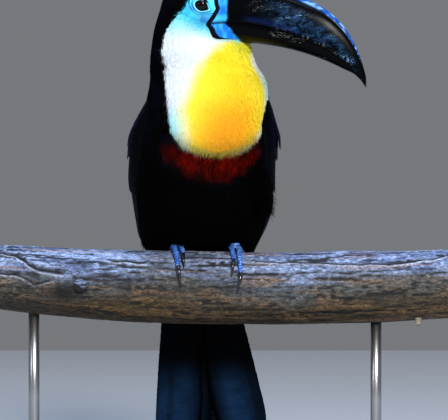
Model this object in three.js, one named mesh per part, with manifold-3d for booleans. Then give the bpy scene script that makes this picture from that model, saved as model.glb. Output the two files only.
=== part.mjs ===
// A channel-billed toucan at life size, as a still museum model: the bird grips a short cut length of branch,
// and two rods carry the branch on a flat base. Millimetres, +Z up, the bird's breast towards -Y, its head
// turned to its own left (+X). The origin is the middle of the base's underside.
import * as THREE from "three";
import { mergeVertices } from "three/addons/utils/BufferGeometryUtils.js";
import Module from "manifold-3d";

const wasm = await Module();
wasm.setup();

// ---------------------------------------------------------------- driving dimensions
const GAP = 0.3; // air between neighbouring solids
const DEG = Math.PI / 180;

const base = { width: 300, depth: 180, height: 14, corner: 28 };
const rod = { radius: 4, x: 125 };

// The branch: a gentle sag, thinner towards the bird's right. Each row is x, axis height, radius.
const BRANCH = [
  [-168, 160.6, 22.8],
  [-150, 159.9, 23.7],
  [-106, 156.5, 25.4],
  [-33, 153.4, 26.6],
  [33, 151.7, 26.8],
  [106, 152.8, 26.5],
  [177, 155.2, 25.6],
  [190, 155.9, 25.2],
];

// The plumage's outline from the tip of the tail coverts to the crown, one level cross-section to a row:
// centre x, y, z; reach to +X, -X, -Y and +Y; then, in degrees, its turn towards -Y about Z and forward tilt.
const BODY = [
  [-1, 56, 121, 13, 13, 1.5, 1.5, 0, 8],
  [-1.5, 54.5, 127, 21, 21, 4, 4, 0, 8],
  [-2, 51.5, 139, 26, 26, 7, 7.5, 0, 10],
  [-3, 47, 153, 30, 30, 10.5, 10.5, 0, 18],
  [-3, 40.5, 168, 35, 35, 15, 14.5, 0, 22],
  [-3, 31, 185, 41.5, 43, 29, 24.5, 0, 13],
  [-3, 23, 198, 46, 44.5, 44, 32, 0, 11],
  [-3, 14, 213, 49, 46, 52, 40, 0, 5],
  [-3, 6, 231, 49, 48, 55, 45, 0, 2],
  [-2, 0, 250, 48.5, 48, 53, 46, 0, 0],
  [-1, -3, 268, 47.5, 47, 50, 44, 0, 0],
  [1, -4, 286, 46.5, 44.5, 47, 39, 0, 0],
  [1.5, -5, 302, 43.5, 42, 41, 34, 0, 0],
  [-1, -6, 317, 38, 39, 34, 27.5, 0, 0],
  [-6, -7, 329, 40, 33, 27.5, 22.5, 8, 0],
  [-11, -8, 341, 42, 26, 23, 21, 14, 0],
  [-12.5, -8, 354, 41, 20.5, 20.5, 20.5, 15, 0],
  [-13, -8, 365, 37, 16.5, 18, 18, 15, 0],
  [-13, -8, 372.5, 25, 12, 12.5, 12.5, 15, 0],
  [-12.5, -8, 377.4, 12, 7.5, 7, 7, 15, 0],
  [-12, -8, 379, 1.5, 1.5, 1.5, 1.5, 15, 0],
];
// Where the plumage is parted into nodes, as places along BODY's rows.
const RUMP_TOP = 4.6;
const TRUNK_TOP = 11.3;
const NECK_TOP = 14.2;
const PART_GAP = 0.03;

// The head's own frame: forward along the bill, and right, towards the bird's right side.
const HEAD = { x: -12.5, y: -8, bearing: 75 };

// The closed bill, one row for each reach forward of the head's middle: height of the culmen, of the cutting
// edge and of the keel, and the half width.
const BILL = [
  [20, 370.9, 344.2, 330.8, 15.6],
  [30, 371.7, 345.2, 330.6, 15.8],
  [45, 371.6, 345.1, 330.4, 14.8],
  [58, 370.6, 343.4, 329.2, 13.6],
  [72, 368, 340.1, 327.2, 12.2],
  [86, 362.8, 335.8, 323.8, 10.4],
  [98, 357.2, 331.2, 319.8, 8.7],
  [108, 350.4, 326, 315.8, 7.1],
  [116.5, 341.6, 319, 311.8, 5.4],
  [123.5, 331, 312.6, 308.6, 3.9],
  [128, 321, 307.9, 305.8, 2.8],
  [131, 311.5, 304.2, 303.4, 1.9],
  [132.2, 303, 299.4, 299.2, 1.1],
];
const LOWER_TIP_ROW = 10.6; // the lower mandible ends inside the upper one's hook
// How far forward of BILL's first row the bill's base lies, at heights from chin to forehead.
const BILL_BASE = [
  [330, 17],
  [332.5, 10],
  [336, 3.4],
  [344, 0],
  [353, 3.2],
  [372, 3.6],
];

const eye = { forward: 14.9, aside: 13.8, height: 358, radius: 6.2 };

const tail = {
  root: [-3, 46, 166],
  lean: 3.6, // degrees towards +X, going down
  slope: 7.4, // degrees backwards, going down
  pairs: 5,
  spread: 1.67, // degrees from one pair to the next
  step: 4.2, // sideways, from one pair's roots to the next
  layer: 0.8, // depth from one pair to the next
  thickness: 1,
  inner: 22,
  outer: 9.5,
  lengths: [146, 145.5, 144, 141, 136],
};

// Each folded wing in bearings from the breast (degrees from -Y round to +Y), from shoulder to tip: its
// leading edge, low on the flank, and its trailing edge over the back. Three tiers of feathers overlap.
const wing = {
  top: 11.5, // place along BODY of the shoulder
  tip: 0.6, // place along BODY of the longest primary's tip
  leading: [[62], [64], [71], [84], [100], [118], [138]],
  trailing: [[132], [146], [155], [161], [166], [170], [174]],
  lining: 0.9, // air between the plumage and the wing's underside
  tiers: [
    { end: 0.4, feathers: 5, notch: 0.03, depth: 5.2, rows: 5 },
    { end: 0.72, feathers: 6, notch: 0.035, depth: 3.6, rows: 4 },
    { end: 0.955, feathers: 4, notch: 0.045, depth: 2.1, rows: 3 },
  ],
};

// Toes, two forward and two back: the place along the branch of each one's root, of its end and of its
// claw's point; the bearing round the branch where it starts and ends, measured from the top towards the
// breast; its radius; and the claw's length.
const TOES = [
  { name: "toe_left_third", x: [24.8, 26.4, 23.4], girth: [4, 66], radius: 2.15, claw: 14 },
  { name: "toe_left_second", x: [19.8, 21.4, 19.6], girth: [5, 45], radius: 1.95, claw: 12 },
  { name: "toe_left_fourth", x: [24.8, 31, 33], girth: [-5, -62], radius: 2.1, claw: 12 },
  { name: "toe_left_first", x: [19.8, 15, 14], girth: [-5, -38], radius: 1.9, claw: 10 },
  { name: "toe_right_third", x: [-23, -19.4, -17.2], girth: [4, 58], radius: 2.15, claw: 14 },
  { name: "toe_right_second", x: [-17.8, -15.9, -15.3], girth: [5, 36], radius: 1.95, claw: 11 },
  { name: "toe_right_fourth", x: [-23.2, -30, -32], girth: [-5, -62], radius: 2.1, claw: 12 },
  { name: "toe_right_first", x: [-18, -13.4, -12.4], girth: [-5, -38], radius: 1.9, claw: 10 },
];
const LEGS = [
  { side: "left", x: 21.8 },
  { side: "right", x: -20.8 },
];

// ---------------------------------------------------------------- colours
const paint = (color, roughness, metalness = 0) =>
  new THREE.MeshStandardMaterial({ color, roughness, metalness });
const blackPlumage = paint(0x0b0d12, 0.6);
const whitePlumage = paint(0xf4f2dc, 0.8);
const redPlumage = paint(0x6a0c06, 0.8);
const billHorn = paint(0x10141c, 0.25);
const eyeBrown = paint(0x1a0d06, 0.05);
const scales = paint(0x4a6c9a, 0.5);
const claw = paint(0x07080a, 0.3);
const wood = paint(0x6b6152, 0.85);
const standBlack = paint(0x1c1c1e, 0.5);
const standSteel = paint(0x8d9096, 0.35, 1);

// ---------------------------------------------------------------- geometry helpers

// The row of a table at place t, where whole numbers are the rows themselves and a smooth curve joins them.
function rowAt(table, t) {
  const place = THREE.MathUtils.clamp(t, 0, table.length - 1);
  const i = Math.min(Math.floor(place), table.length - 2);
  const f = place - i;
  const before = table[Math.max(i - 1, 0)];
  const after = table[Math.min(i + 2, table.length - 1)];
  return table[i].map((p1, k) => {
    const p2 = table[i + 1][k];
    const m1 = i > 0 ? (p2 - before[k]) / 2 : p2 - p1;
    const m2 = i < table.length - 2 ? (after[k] - p1) / 2 : p2 - p1;
    const f2 = f * f;
    const f3 = f2 * f;
    return (2 * f3 - 3 * f2 + 1) * p1 + (f3 - 2 * f2 + f) * m1 + (3 * f2 - 2 * f3) * p2 + (f3 - f2) * m2;
  });
}

// The place in a table where its first column reaches a value.
function placeOf(table, value) {
  const i = Math.min(table.findIndex((row) => row[0] >= value) - 1, table.length - 2);
  return i < 0 ? 0 : i + (value - table[i][0]) / (table[i + 1][0] - table[i][0]);
}

// A capped cylinder carried to shape(height 0 to 1, angle, share of the radius 0 or 1). The angle runs from
// the viewer's side (-Y) towards +X, seen from above.
function sweep(shape, columns, rows) {
  const g = new THREE.CylinderGeometry(1, 1, 1, columns, rows);
  carry(g, (p) => shape(p.y + 0.5, Math.atan2(p.x, p.z), Math.hypot(p.x, p.z)));
  return g;
}

// A box of unit size carried to shape(x 0 to 1, y 0 to 1, z 0 to 1).
function slab(shape, columns, rows) {
  const g = new THREE.BoxGeometry(1, 1, 1, columns, rows, 1);
  carry(g, (p) => shape(p.x + 0.5, p.y + 0.5, p.z + 0.5));
  return g;
}

function carry(geometry, shape) {
  const at = geometry.attributes.position;
  const p = new THREE.Vector3();
  for (let i = 0; i < at.count; i += 1) {
    p.fromBufferAttribute(at, i);
    const q = shape(p);
    at.setXYZ(i, q[0], q[1], q[2]);
  }
}

// A closed geometry as a solid that booleans work on, and back again.
function solid(geometry) {
  const bare = geometry.clone();
  for (const name of ["normal", "uv"]) bare.deleteAttribute(name);
  const merged = mergeVertices(bare, 1e-3);
  const made = new wasm.Manifold(
    new wasm.Mesh({
      numProp: 3,
      vertProperties: new Float32Array(merged.attributes.position.array),
      triVerts: new Uint32Array(merged.index.array),
    }),
  );
  if (made.volume() < 0) throw new Error("a shape is inside out");
  return made;
}

function geometryOf(made) {
  const m = made.getMesh();
  const g = new THREE.BufferGeometry();
  g.setAttribute("position", new THREE.BufferAttribute(new Float32Array(m.vertProperties), 3));
  g.setIndex(new THREE.BufferAttribute(new Uint32Array(m.triVerts), 1));
  g.computeVertexNormals();
  return g;
}

// The largest body of a solid, without the crumbs that a cut leaves.
function mainBody(made) {
  return made.decompose().sort((a, b) => b.volume() - a.volume())[0];
}

function join(geometries) {
  return geometries.map(solid).reduce((a, b) => a.add(b));
}

const mix = (a, b, t) => a + (b - a) * t;

// ---------------------------------------------------------------- the plumage's outline

// A point of the plumage at place t of BODY and a bearing from the viewer's side (-Y) round towards +X,
// grown outwards by grow and drawn in to a share of the section.
function bodyPoint(t, bearing, grow = 0, share = 1) {
  const [cx, cy, cz, right, left, front, back, turn, tilt] = rowAt(BODY, t);
  const sx = Math.sin(bearing) * ((Math.sin(bearing) > 0 ? right : left) + grow) * share;
  const sy = -Math.cos(bearing) * ((Math.cos(bearing) > 0 ? front : back) + grow) * share;
  const x = sx * Math.cos(turn * DEG) + sy * Math.sin(turn * DEG);
  const y = sy * Math.cos(turn * DEG) - sx * Math.sin(turn * DEG);
  return [cx + x, cy + y * Math.cos(tilt * DEG), cz + y * Math.sin(tilt * DEG)];
}

function bodyPart(from, to, columns, rows, grow = 0) {
  return sweep((h, a, share) => bodyPoint(mix(from, to, h), a, grow, share), columns, rows);
}

// A point of the head's frame: forward along the bill, aside towards the bird's right, and a height.
function headPoint(forward, aside, height) {
  const s = Math.sin(HEAD.bearing * DEG);
  const c = Math.cos(HEAD.bearing * DEG);
  return [HEAD.x + forward * s - aside * c, HEAD.y - forward * c - aside * s, height];
}

// ---------------------------------------------------------------- bill

// How far a point of the bill moves forward so that the base follows BILL_BASE, less and less along the bill.
function billShift(q, z) {
  const t = placeOf(BILL_BASE, THREE.MathUtils.clamp(z, BILL_BASE[0][0], BILL_BASE.at(-1)[0]));
  return rowAt(BILL_BASE, t)[1] * Math.max(1 - (q - BILL[0][0]) / 60, 0) ** 2;
}

// The upper mandible's section: flat along the cutting edge, full-cheeked, and rounded over the culmen.
function upperBill(grow) {
  return sweep((h, a, share) => {
    const [q, culmen, edge, , half] = rowAt(BILL, mix(0, BILL.length - 1, h));
    const up = Math.cos(a);
    const aside = Math.sin(a) * (half + grow) * (up < 0 ? Math.abs(Math.sin(a)) ** 0.2 : 1);
    const bottom = edge + GAP / 2 - grow;
    const z = bottom + (culmen - edge + 2 * grow) * Math.max(up, 0) ** 0.8 + 0.4 * Math.min(up, 0);
    const height = share > 0.5 ? z : (culmen + edge) / 2;
    return headPoint(q + billShift(q, height) - grow * (h < 0.001), aside * share, height);
  }, 18, 14);
}

// The lower mandible's section: flat on top and keeled below, a little narrower than the upper one.
function lowerBill(grow) {
  return sweep((h, a, share) => {
    const [q, , edge, keel, half] = rowAt(BILL, mix(0, LOWER_TIP_ROW, h));
    const down = -Math.cos(a);
    const aside = Math.sin(a) * (half * 0.94 + grow) * (down < 0 ? Math.abs(Math.sin(a)) ** 0.2 : 1);
    const top = edge - GAP / 2 + grow;
    const z = top - (edge - keel + 2 * grow) * Math.max(down, 0) ** 0.85 - 0.4 * Math.min(down, 0);
    const height = share > 0.5 ? z : (edge + keel) / 2;
    return headPoint(q + billShift(q, height) - grow * (h < 0.001), aside * share, height);
  }, 16, 11);
}

// ---------------------------------------------------------------- eyes

function eyeBall(side, grow) {
  const g = new THREE.SphereGeometry(eye.radius + grow, 14, 9);
  const p = headPoint(eye.forward, side * eye.aside, eye.height);
  return g.translate(p[0], p[1], p[2]);
}

// ---------------------------------------------------------------- wings

// How far down the wing a tier of feathers ends, at a share of the way from the trailing to the leading edge:
// each feather's rounded tip reaches past the notches beside it.
function tierEnd({ end, feathers, notch }, across) {
  const place = across * feathers;
  const fromMiddle = Math.abs(place - Math.floor(place) - 0.5) * 2;
  return end + notch * (1 - fromMiddle ** 2);
}

// The wing's rows from shoulder to tip: each is a place in a tier, from its start to its end, so that two
// rows meet at every step down from one tier to the next.
function wingRows() {
  return wing.tiers.flatMap((tier, i) => {
    const before = wing.tiers[i - 1];
    return Array.from({ length: tier.rows + 1 }, (_, k) => ({ tier, before, share: k / tier.rows }));
  });
}

// A folded wing: one closed slab that lies on the plumage. side is 1 for the bird's left, -1 for its right.
function foldedWing(side) {
  const rows = wingRows();
  const g = slab((across, down, out) => {
    const { tier, before, share } = rows[Math.round((1 - down) * (rows.length - 1))];
    const start = before ? tierEnd(before, across) + 0.006 : 0;
    const s = mix(start, tierEnd(tier, across), share);
    const leading = rowAt(wing.leading, s * (wing.leading.length - 1))[0];
    const trailing = rowAt(wing.trailing, s * (wing.trailing.length - 1))[0];
    const bearing = side * mix(trailing, leading, across) * DEG;
    const camber = Math.sin(Math.PI * across) ** 0.6 * Math.min(1, 6 * s);
    const lift = wing.lining + (out > 0.5 ? 0.7 + tier.depth * camber : 0);
    return bodyPoint(mix(wing.top, wing.tip, s), bearing, lift);
  }, 12, rows.length - 1);
  if (side > 0) turnInsideOut(g);
  return solid(g);
}

function turnInsideOut(geometry) {
  const index = geometry.index.array;
  for (let i = 0; i < index.length; i += 3) [index[i + 1], index[i + 2]] = [index[i + 2], index[i + 1]];
}

// ---------------------------------------------------------------- tail

// One tail feather in its own plane: x across, with the wide inner vane towards the middle, y down its shaft.
function tailFeather(length, inner, outer) {
  const shape = new THREE.Shape();
  const root = 6;
  shape.moveTo(-root, 0);
  shape.lineTo(root, 0);
  shape.quadraticCurveTo(outer * 0.9, -length * 0.4, outer, -length * 0.82);
  shape.bezierCurveTo(outer, -length * 0.95, outer * 0.6, -length, 0, -length);
  shape.bezierCurveTo(-inner * 0.6, -length, -inner, -length * 0.95, -inner, -length * 0.78);
  shape.quadraticCurveTo(-inner, -length * 0.35, -root, 0);
  return new THREE.ExtrudeGeometry(shape, { depth: tail.thickness, bevelEnabled: false, curveSegments: 3 });
}

// The ten feathers fan out from the root; the outermost pair lies lowest, nearest the breast.
function tailFan() {
  const feathers = [];
  for (let pair = 0; pair < tail.pairs; pair += 1) {
    for (const side of [1, -1]) {
      const g = tailFeather(tail.lengths[pair], tail.inner, tail.outer);
      if (side < 0) g.rotateY(180 * DEG).translate(0, 0, tail.thickness);
      g.rotateZ(side * (pair + 0.5) * tail.spread * DEG);
      const depth = pair * tail.layer + (side < 0 ? tail.layer / 2 : 0);
      g.translate(side * (pair + 0.5) * tail.step, 0, depth);
      g.rotateX(90 * DEG).rotateY(-tail.lean * DEG).rotateX(tail.slope * DEG);
      feathers.push(g.translate(...tail.root));
    }
  }
  return feathers;
}

// ---------------------------------------------------------------- branch, legs and feet

function branchPoint(t, angle, grow = 0, share = 1) {
  const [x, axis, radius] = rowAt(BRANCH, t);
  const ripple = 1 + 0.012 * Math.sin(3 * angle + x / 31) + 0.008 * Math.sin(2 * angle - x / 23);
  const r = (radius * ripple + grow) * share;
  return [x, -Math.sin(angle) * r, axis + Math.cos(angle) * r];
}

// A closed cylinder along X, with a knot on the bird's right and a stub of a twig on its left.
function branch(grow = 0) {
  const log = sweep((h, a, share) => branchPoint(h * (BRANCH.length - 1), a, grow, share), 20, 15);
  const knot = new THREE.SphereGeometry(5 + grow, 8, 6).translate(-88, -22.4, 154.8);
  const stub = new THREE.CylinderGeometry(2 + grow, 2.5 + grow, 8, 7).translate(0, 26.6, 0);
  stub.rotateX(-160 * DEG).translate(151, 0, 154.2);
  return join([log, knot, stub]);
}

// A point on the branch's girth at x, an angle from its top towards the breast, and a height above the bark.
function onBranch(x, girth, lift) {
  return branchPoint(placeOf(BRANCH, x), girth * DEG, lift);
}

// A toe: a jointed tube that follows the branch's girth, thicker over each pad, blunt at its end.
function toe({ x, girth, radius }, grow = 0) {
  return sweep((h, a, share) => {
    const g = mix(girth[0], girth[1], h);
    const r = radius * (1 - 0.28 * h) * (1 + 0.1 * Math.cos(h * Math.PI * 4)) + grow;
    const round = h > 0.99 ? 0.55 : 1;
    const lift = radius * 1.12 + GAP + r * Math.cos(a) * share * round;
    const side = Math.sign(girth[1]) * -1;
    return onBranch(mix(x[0], x[1], h) + side * r * Math.sin(a) * share * round, g, lift);
  }, 6, 6);
}

// A claw: a curved cone that springs from the toe's end and touches the bark with its point.
function toeClaw({ x, girth, radius, claw: length }, grow = 0) {
  const sign = Math.sign(girth[1]);
  const turn = (length / 27) * (180 / Math.PI) * sign;
  return sweep((h, a, share) => {
    const g = girth[1] + sign * 0.9 + turn * h;
    const r = mix(radius * 0.5, 0.45, h) + grow;
    const lift = mix(radius * 1.25, 1.3, h ** 1.6) + GAP + 1.4 * Math.sin(Math.PI * Math.min(h * 1.1, 1));
    const along = mix(x[1], x[2], h ** 1.5);
    return onBranch(along - sign * r * Math.sin(a) * share, g, lift + r * 1.3 * Math.cos(a) * share);
  }, 6, 4);
}

// The leg's visible length: the feathered thigh's cuff and the short scaly shank above the foot's joint.
function shank(x) {
  return sweep((h, a, share) => {
    const r = mix(4.6, 6.4, h) * share;
    const foot = onBranch(x, -1, 0.4);
    return [x + r * Math.sin(a), foot[1] - r * 0.9 * Math.cos(a) + 6 * h, foot[2] + 1 + 24 * h];
  }, 12, 3);
}

// ---------------------------------------------------------------- stand

function standBase() {
  const { width, depth, height, corner } = base;
  const shape = new THREE.Shape();
  const w = width / 2;
  const d = depth / 2;
  shape.moveTo(-w + corner, -d);
  shape.lineTo(w - corner, -d);
  shape.absarc(w - corner, -d + corner, corner, -90 * DEG, 0);
  shape.absarc(w - corner, d - corner, corner, 0, 90 * DEG);
  shape.absarc(-w + corner, d - corner, corner, 90 * DEG, 180 * DEG);
  shape.absarc(-w + corner, -d + corner, corner, 180 * DEG, 270 * DEG);
  return new THREE.ExtrudeGeometry(shape, { depth: height, bevelEnabled: false, curveSegments: 6 });
}

function standRod(x) {
  const top = rowAt(BRANCH, placeOf(BRANCH, x))[1];
  const length = top - base.height - GAP;
  const g = new THREE.CylinderGeometry(rod.radius, rod.radius, length, 20);
  return g.rotateX(90 * DEG).translate(x, 0, base.height + GAP + length / 2);
}

// ---------------------------------------------------------------- putting it together
const toucan = new THREE.Group();

function add(group, name, geometry, material) {
  const mesh = new THREE.Mesh(geometry, material);
  mesh.name = name;
  group.add(mesh);
}

const bird = new THREE.Group();
const perch = new THREE.Group();
const stand = new THREE.Group();
toucan.add(bird, perch, stand);

const perchGrown = branch(GAP);
const billGrown = solid(upperBill(GAP)).add(solid(lowerBill(GAP)));
const eyesGrown = join([eyeBall(1, GAP), eyeBall(-1, GAP)]);
const end = BODY.length - 1;

const feetGrown = join(TOES.flatMap((t) => [toe(t, GAP), toeClaw(t, GAP)]));
const below = perchGrown.add(feetGrown);

const rump = solid(bodyPart(0, RUMP_TOP - PART_GAP, 22, 7)).subtract(below);
const trunk = solid(bodyPart(RUMP_TOP, TRUNK_TOP - PART_GAP, 28, 11)).subtract(below);
const neck = solid(bodyPart(TRUNK_TOP, NECK_TOP - PART_GAP, 28, 5)).subtract(billGrown);
const head = solid(bodyPart(NECK_TOP, end, 26, 9)).subtract(billGrown).subtract(eyesGrown);
add(bird, "rump", geometryOf(mainBody(rump)), redPlumage);
add(bird, "trunk", geometryOf(mainBody(trunk)), blackPlumage);
add(bird, "neck", geometryOf(mainBody(neck)), whitePlumage);
add(bird, "head", geometryOf(mainBody(head)), blackPlumage);

add(bird, "bill_upper", upperBill(0), billHorn);
add(bird, "bill_lower", geometryOf(mainBody(solid(lowerBill(0)).subtract(solid(upperBill(GAP))))), billHorn);
add(bird, "eye_right", eyeBall(1, 0), eyeBrown);
add(bird, "eye_left", eyeBall(-1, 0), eyeBrown);

const wings = { left: foldedWing(1), right: foldedWing(-1) };
add(bird, "wing_left", geometryOf(wings.left), blackPlumage);
add(bird, "wing_right", geometryOf(wings.right), blackPlumage);

const bodyGrown = join([bodyPart(0, RUMP_TOP, 22, 7, GAP), bodyPart(RUMP_TOP, TRUNK_TOP, 28, 11, GAP)]);
const tailSolid = join(tailFan()).subtract(bodyGrown);
add(bird, "tail", geometryOf(mainBody(tailSolid)), blackPlumage);

for (const { side, x } of LEGS) {
  add(bird, `leg_${side}`, geometryOf(mainBody(solid(shank(x)).subtract(bodyGrown).subtract(below))), scales);
}
for (const t of TOES) {
  add(bird, t.name, toe(t), scales);
  add(bird, t.name.replace("toe", "claw"), toeClaw(t), claw);
}

add(perch, "perch_branch", geometryOf(mainBody(branch())), wood);
add(stand, "stand_base", standBase(), standBlack);
for (const [name, x] of [["left", rod.x], ["right", -rod.x]]) {
  add(stand, `stand_rod_${name}`, geometryOf(mainBody(solid(standRod(x)).subtract(perchGrown))), standSteel);
}

export default toucan;
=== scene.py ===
"""A channel-billed toucan at life size, as a still museum model on its perch and display stand.

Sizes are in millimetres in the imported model's own frame: +Z up, the breast towards -Y, the bill towards +X,
and the origin in the middle of the stand's underside. Each mesh is turned into metres as it is made.
"""
import math

import bpy
import numpy as np
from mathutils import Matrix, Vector


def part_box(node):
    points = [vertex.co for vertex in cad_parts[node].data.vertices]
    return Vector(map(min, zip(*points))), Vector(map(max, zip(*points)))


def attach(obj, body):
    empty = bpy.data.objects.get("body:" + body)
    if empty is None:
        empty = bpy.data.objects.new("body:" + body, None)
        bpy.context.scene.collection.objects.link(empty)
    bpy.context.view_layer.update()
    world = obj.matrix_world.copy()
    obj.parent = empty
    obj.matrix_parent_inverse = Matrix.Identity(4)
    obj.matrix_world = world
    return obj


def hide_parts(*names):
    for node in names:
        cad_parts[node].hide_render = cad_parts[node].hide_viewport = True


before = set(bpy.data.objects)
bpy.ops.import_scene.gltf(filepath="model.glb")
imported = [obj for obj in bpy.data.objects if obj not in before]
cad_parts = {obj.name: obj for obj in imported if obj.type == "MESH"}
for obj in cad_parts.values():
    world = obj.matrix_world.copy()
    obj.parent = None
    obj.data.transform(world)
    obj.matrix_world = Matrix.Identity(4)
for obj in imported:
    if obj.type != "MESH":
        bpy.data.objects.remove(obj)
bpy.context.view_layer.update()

# ---------------------------------------------------------------- display stand: the board
# The board is dense fibreboard. Its upper arris is routed to a small round, and it is sprayed with satin
# black lacquer, which follows the board's fine fibres. It stands on its flat underside.
MM = 0.001


def add_mesh(name, points, faces, material, shade=None, uvs=None, wear=None):
    """A smooth-shaded object from points in mm and a list of arrays of corner numbers, riding on the one
    body. shade and wear are attributes with one RGB per point; uvs maps a UV layer's name to one UV per point
    or per face corner."""
    mesh = bpy.data.meshes.new(name)
    corners = np.concatenate([f.ravel() for f in faces]).astype(np.int32)
    sizes = np.concatenate([np.full(len(f), f.shape[1]) for f in faces])
    mesh.vertices.add(len(points))
    mesh.vertices.foreach_set("co", (points * MM).astype(np.float32).ravel())
    mesh.loops.add(len(corners))
    mesh.loops.foreach_set("vertex_index", corners)
    mesh.polygons.add(len(sizes))
    mesh.polygons.foreach_set("loop_start", (np.cumsum(sizes) - sizes).astype(np.int32))
    for layer_name, uv in (uvs or {}).items():
        layer = mesh.uv_layers.new(name=layer_name)
        uv = uv if len(uv) == len(corners) else uv[corners]
        layer.uv.foreach_set("vector", uv.astype(np.float32).ravel())
    for layer_name, rgb in (("shade", shade), ("wear", wear)):
        if rgb is not None:
            layer = mesh.color_attributes.new(layer_name, "FLOAT_COLOR", "POINT")
            rgba = np.column_stack([rgb, np.ones(len(rgb))]).astype(np.float32)
            layer.data.foreach_set("color", rgba.ravel())
    mesh.update(calc_edges=True)
    mesh.validate()
    mesh.shade_smooth()
    mesh.materials.append(material)
    made = bpy.data.objects.new(name, mesh)
    bpy.context.scene.collection.objects.link(made)
    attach(made, "root")
    return made


def grid_faces(rows, columns, wrap=False, copies=1):
    """Corner numbers of the quads of grids stored row by row; a quad faces columns-way cross rows-way."""
    row, column = np.mgrid[0 : rows - 1, 0 : columns if wrap else columns - 1]
    here = row * columns + column
    beside = row * columns + (column + 1) % columns
    quads = np.stack([here, beside, beside + columns, here + columns], axis=-1).reshape(-1, 4)
    return (quads[None] + np.arange(copies)[:, None, None] * rows * columns).reshape(-1, 4)


def closed_tubes(rings):
    """Points and faces of one closed tube (ring, column, xyz) or of several (tube, ring, column, xyz): quads
    join the rings, and each end is a fan round the mean of its ring."""
    rings = rings.reshape(-1, *rings.shape[-3:])
    count, rows, columns = rings.shape[:3]
    column = np.arange(columns)
    tube = np.arange(count)[:, None]
    first = tube * rows * columns + column
    last = first + (rows - 1) * columns
    body = count * rows * columns
    low = spot(body + tube, np.roll(first, -1, 1), first)
    high = spot(body + count + tube, last, np.roll(last, -1, 1))
    return per_point(rings), [grid_faces(rows, columns, True, count), low.reshape(-1, 3), high.reshape(-1, 3)]


def per_point(values):
    """Values given on a closed_tubes grid, one row for each of its points: the mean of a ring at the ends'
    own."""
    values = values.reshape(-1, *values.shape[-3:])
    ends = values[:, [0, -1]].mean(axis=2)
    return np.concatenate([values.reshape(-1, values.shape[-1]), ends[:, 0], ends[:, 1]])


def spot(*parts):
    """The parts side by side along a new last axis."""
    return np.stack(np.broadcast_arrays(*parts), axis=-1)


def srgb(red, green, blue):
    """A colour of 0 to 255 display steps as linear RGB: divided by 255 and put through the sRGB curve."""
    c = np.array([red, green, blue], float) / 255
    return np.where(c <= 0.04045, c / 12.92, ((c + 0.055) / 1.055) ** 2.4)


def add_node(tree, kind, inputs=(), **settings):
    """The outputs of a new shader node. settings are its own properties; inputs maps a socket's name or
    number to a constant or to the output that feeds it."""
    made = tree.nodes.new("ShaderNode" + kind)
    for key, value in settings.items():
        setattr(made, key, value)
    for socket, value in dict(inputs).items():
        if isinstance(value, bpy.types.NodeSocket):
            tree.links.new(value, made.inputs[socket])
        else:
            made.inputs[socket].default_value = value
    return made.outputs


def calculate(tree, operation, *values):
    """The result of a Math node on constants or outputs."""
    return add_node(tree, "Math", enumerate(values), operation=operation)[0]


def new_group(name, inputs, outputs):
    """A node group, what its inputs give, and its outputs' sockets. inputs and outputs map a socket's name to
    its kind, or to its kind and default."""
    group = bpy.data.node_groups.new(name, "ShaderNodeTree")
    for way, sockets in (("INPUT", inputs), ("OUTPUT", outputs)):
        for socket_name, (kind, *default) in sockets.items():
            socket = group.interface.new_socket(socket_name, in_out=way, socket_type="NodeSocket" + kind)
            for value in default:
                socket.default_value = value
    return group, group.nodes.new("NodeGroupInput").outputs, group.nodes.new("NodeGroupOutput").inputs


def speckle_group():
    """Node group "speckle": its Colour times a fine and a coarse noise about 1, and the noise as a Height.
    Scale is in cells to a metre, and Stretch scales the noise's coordinates on each axis."""
    group, given, out = new_group(
        "speckle",
        {
            "Colour": ("Color",),
            "Scale": ("Float", 900.0),
            "Strength": ("Float", 0.3),
            "Stretch": ("Vector", (1, 1, 1)),
        },
        {"Colour": ("Color",), "Height": ("Float",)},
    )
    place = add_node(group, "TexCoord")["Object"]
    place = add_node(group, "VectorMath", {0: place, 1: given["Stretch"]}, operation="MULTIPLY")[0]
    noise = {"Vector": place, "Scale": given["Scale"], "Detail": 4, "Roughness": 0.65}
    noise = add_node(group, "TexNoise", noise)["Fac"]
    centred = calculate(group, "SUBTRACT", noise, 0.5)
    factor = calculate(group, "MULTIPLY_ADD", centred, given["Strength"], 1.0)
    tinted = add_node(group, "VectorMath", {0: given["Colour"], "Scale": factor}, operation="SCALE")[0]
    group.links.new(tinted, out["Colour"])
    group.links.new(noise, out["Height"])
    return group


SPECKLE = speckle_group()


def speckled_material(name, colour, scale, strength, stretch=(1, 1, 1), bump=0.2, depth=0.0002, **constants):
    """A material whose shader takes its colour and normal from a speckle, with its tree, its shader and the
    speckled colour. colour is an RGB constant or an attribute's name; constants are for the shader's other
    sockets, with _ for a space."""
    material = bpy.data.materials.new(name)
    material.use_nodes = True
    tree = material.node_tree
    shader = tree.nodes["Principled BSDF"]
    for socket, value in constants.items():
        shader.inputs[socket.replace("_", " ")].default_value = value
    if isinstance(colour, str):
        source = add_node(tree, "Attribute", attribute_name=colour)["Color"]
    else:
        source = (*colour, 1)
    fleck = {"Colour": source, "Scale": scale, "Strength": strength, "Stretch": stretch}
    fleck = add_node(tree, "Group", fleck, node_tree=SPECKLE)
    tree.links.new(fleck["Colour"], shader.inputs["Base Color"])
    relief = add_node(tree, "Bump", {"Strength": bump, "Distance": depth, "Height": fleck["Height"]})
    tree.links.new(relief["Normal"], shader.inputs["Normal"])
    return material, tree, shader, fleck["Colour"]


board_high = np.array(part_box("stand_base")[1]) / MM
BOARD_CORNER = 28
BOARD_ARRIS = 2.5
LACQUER = (0.012, 0.012, 0.013)

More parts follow.
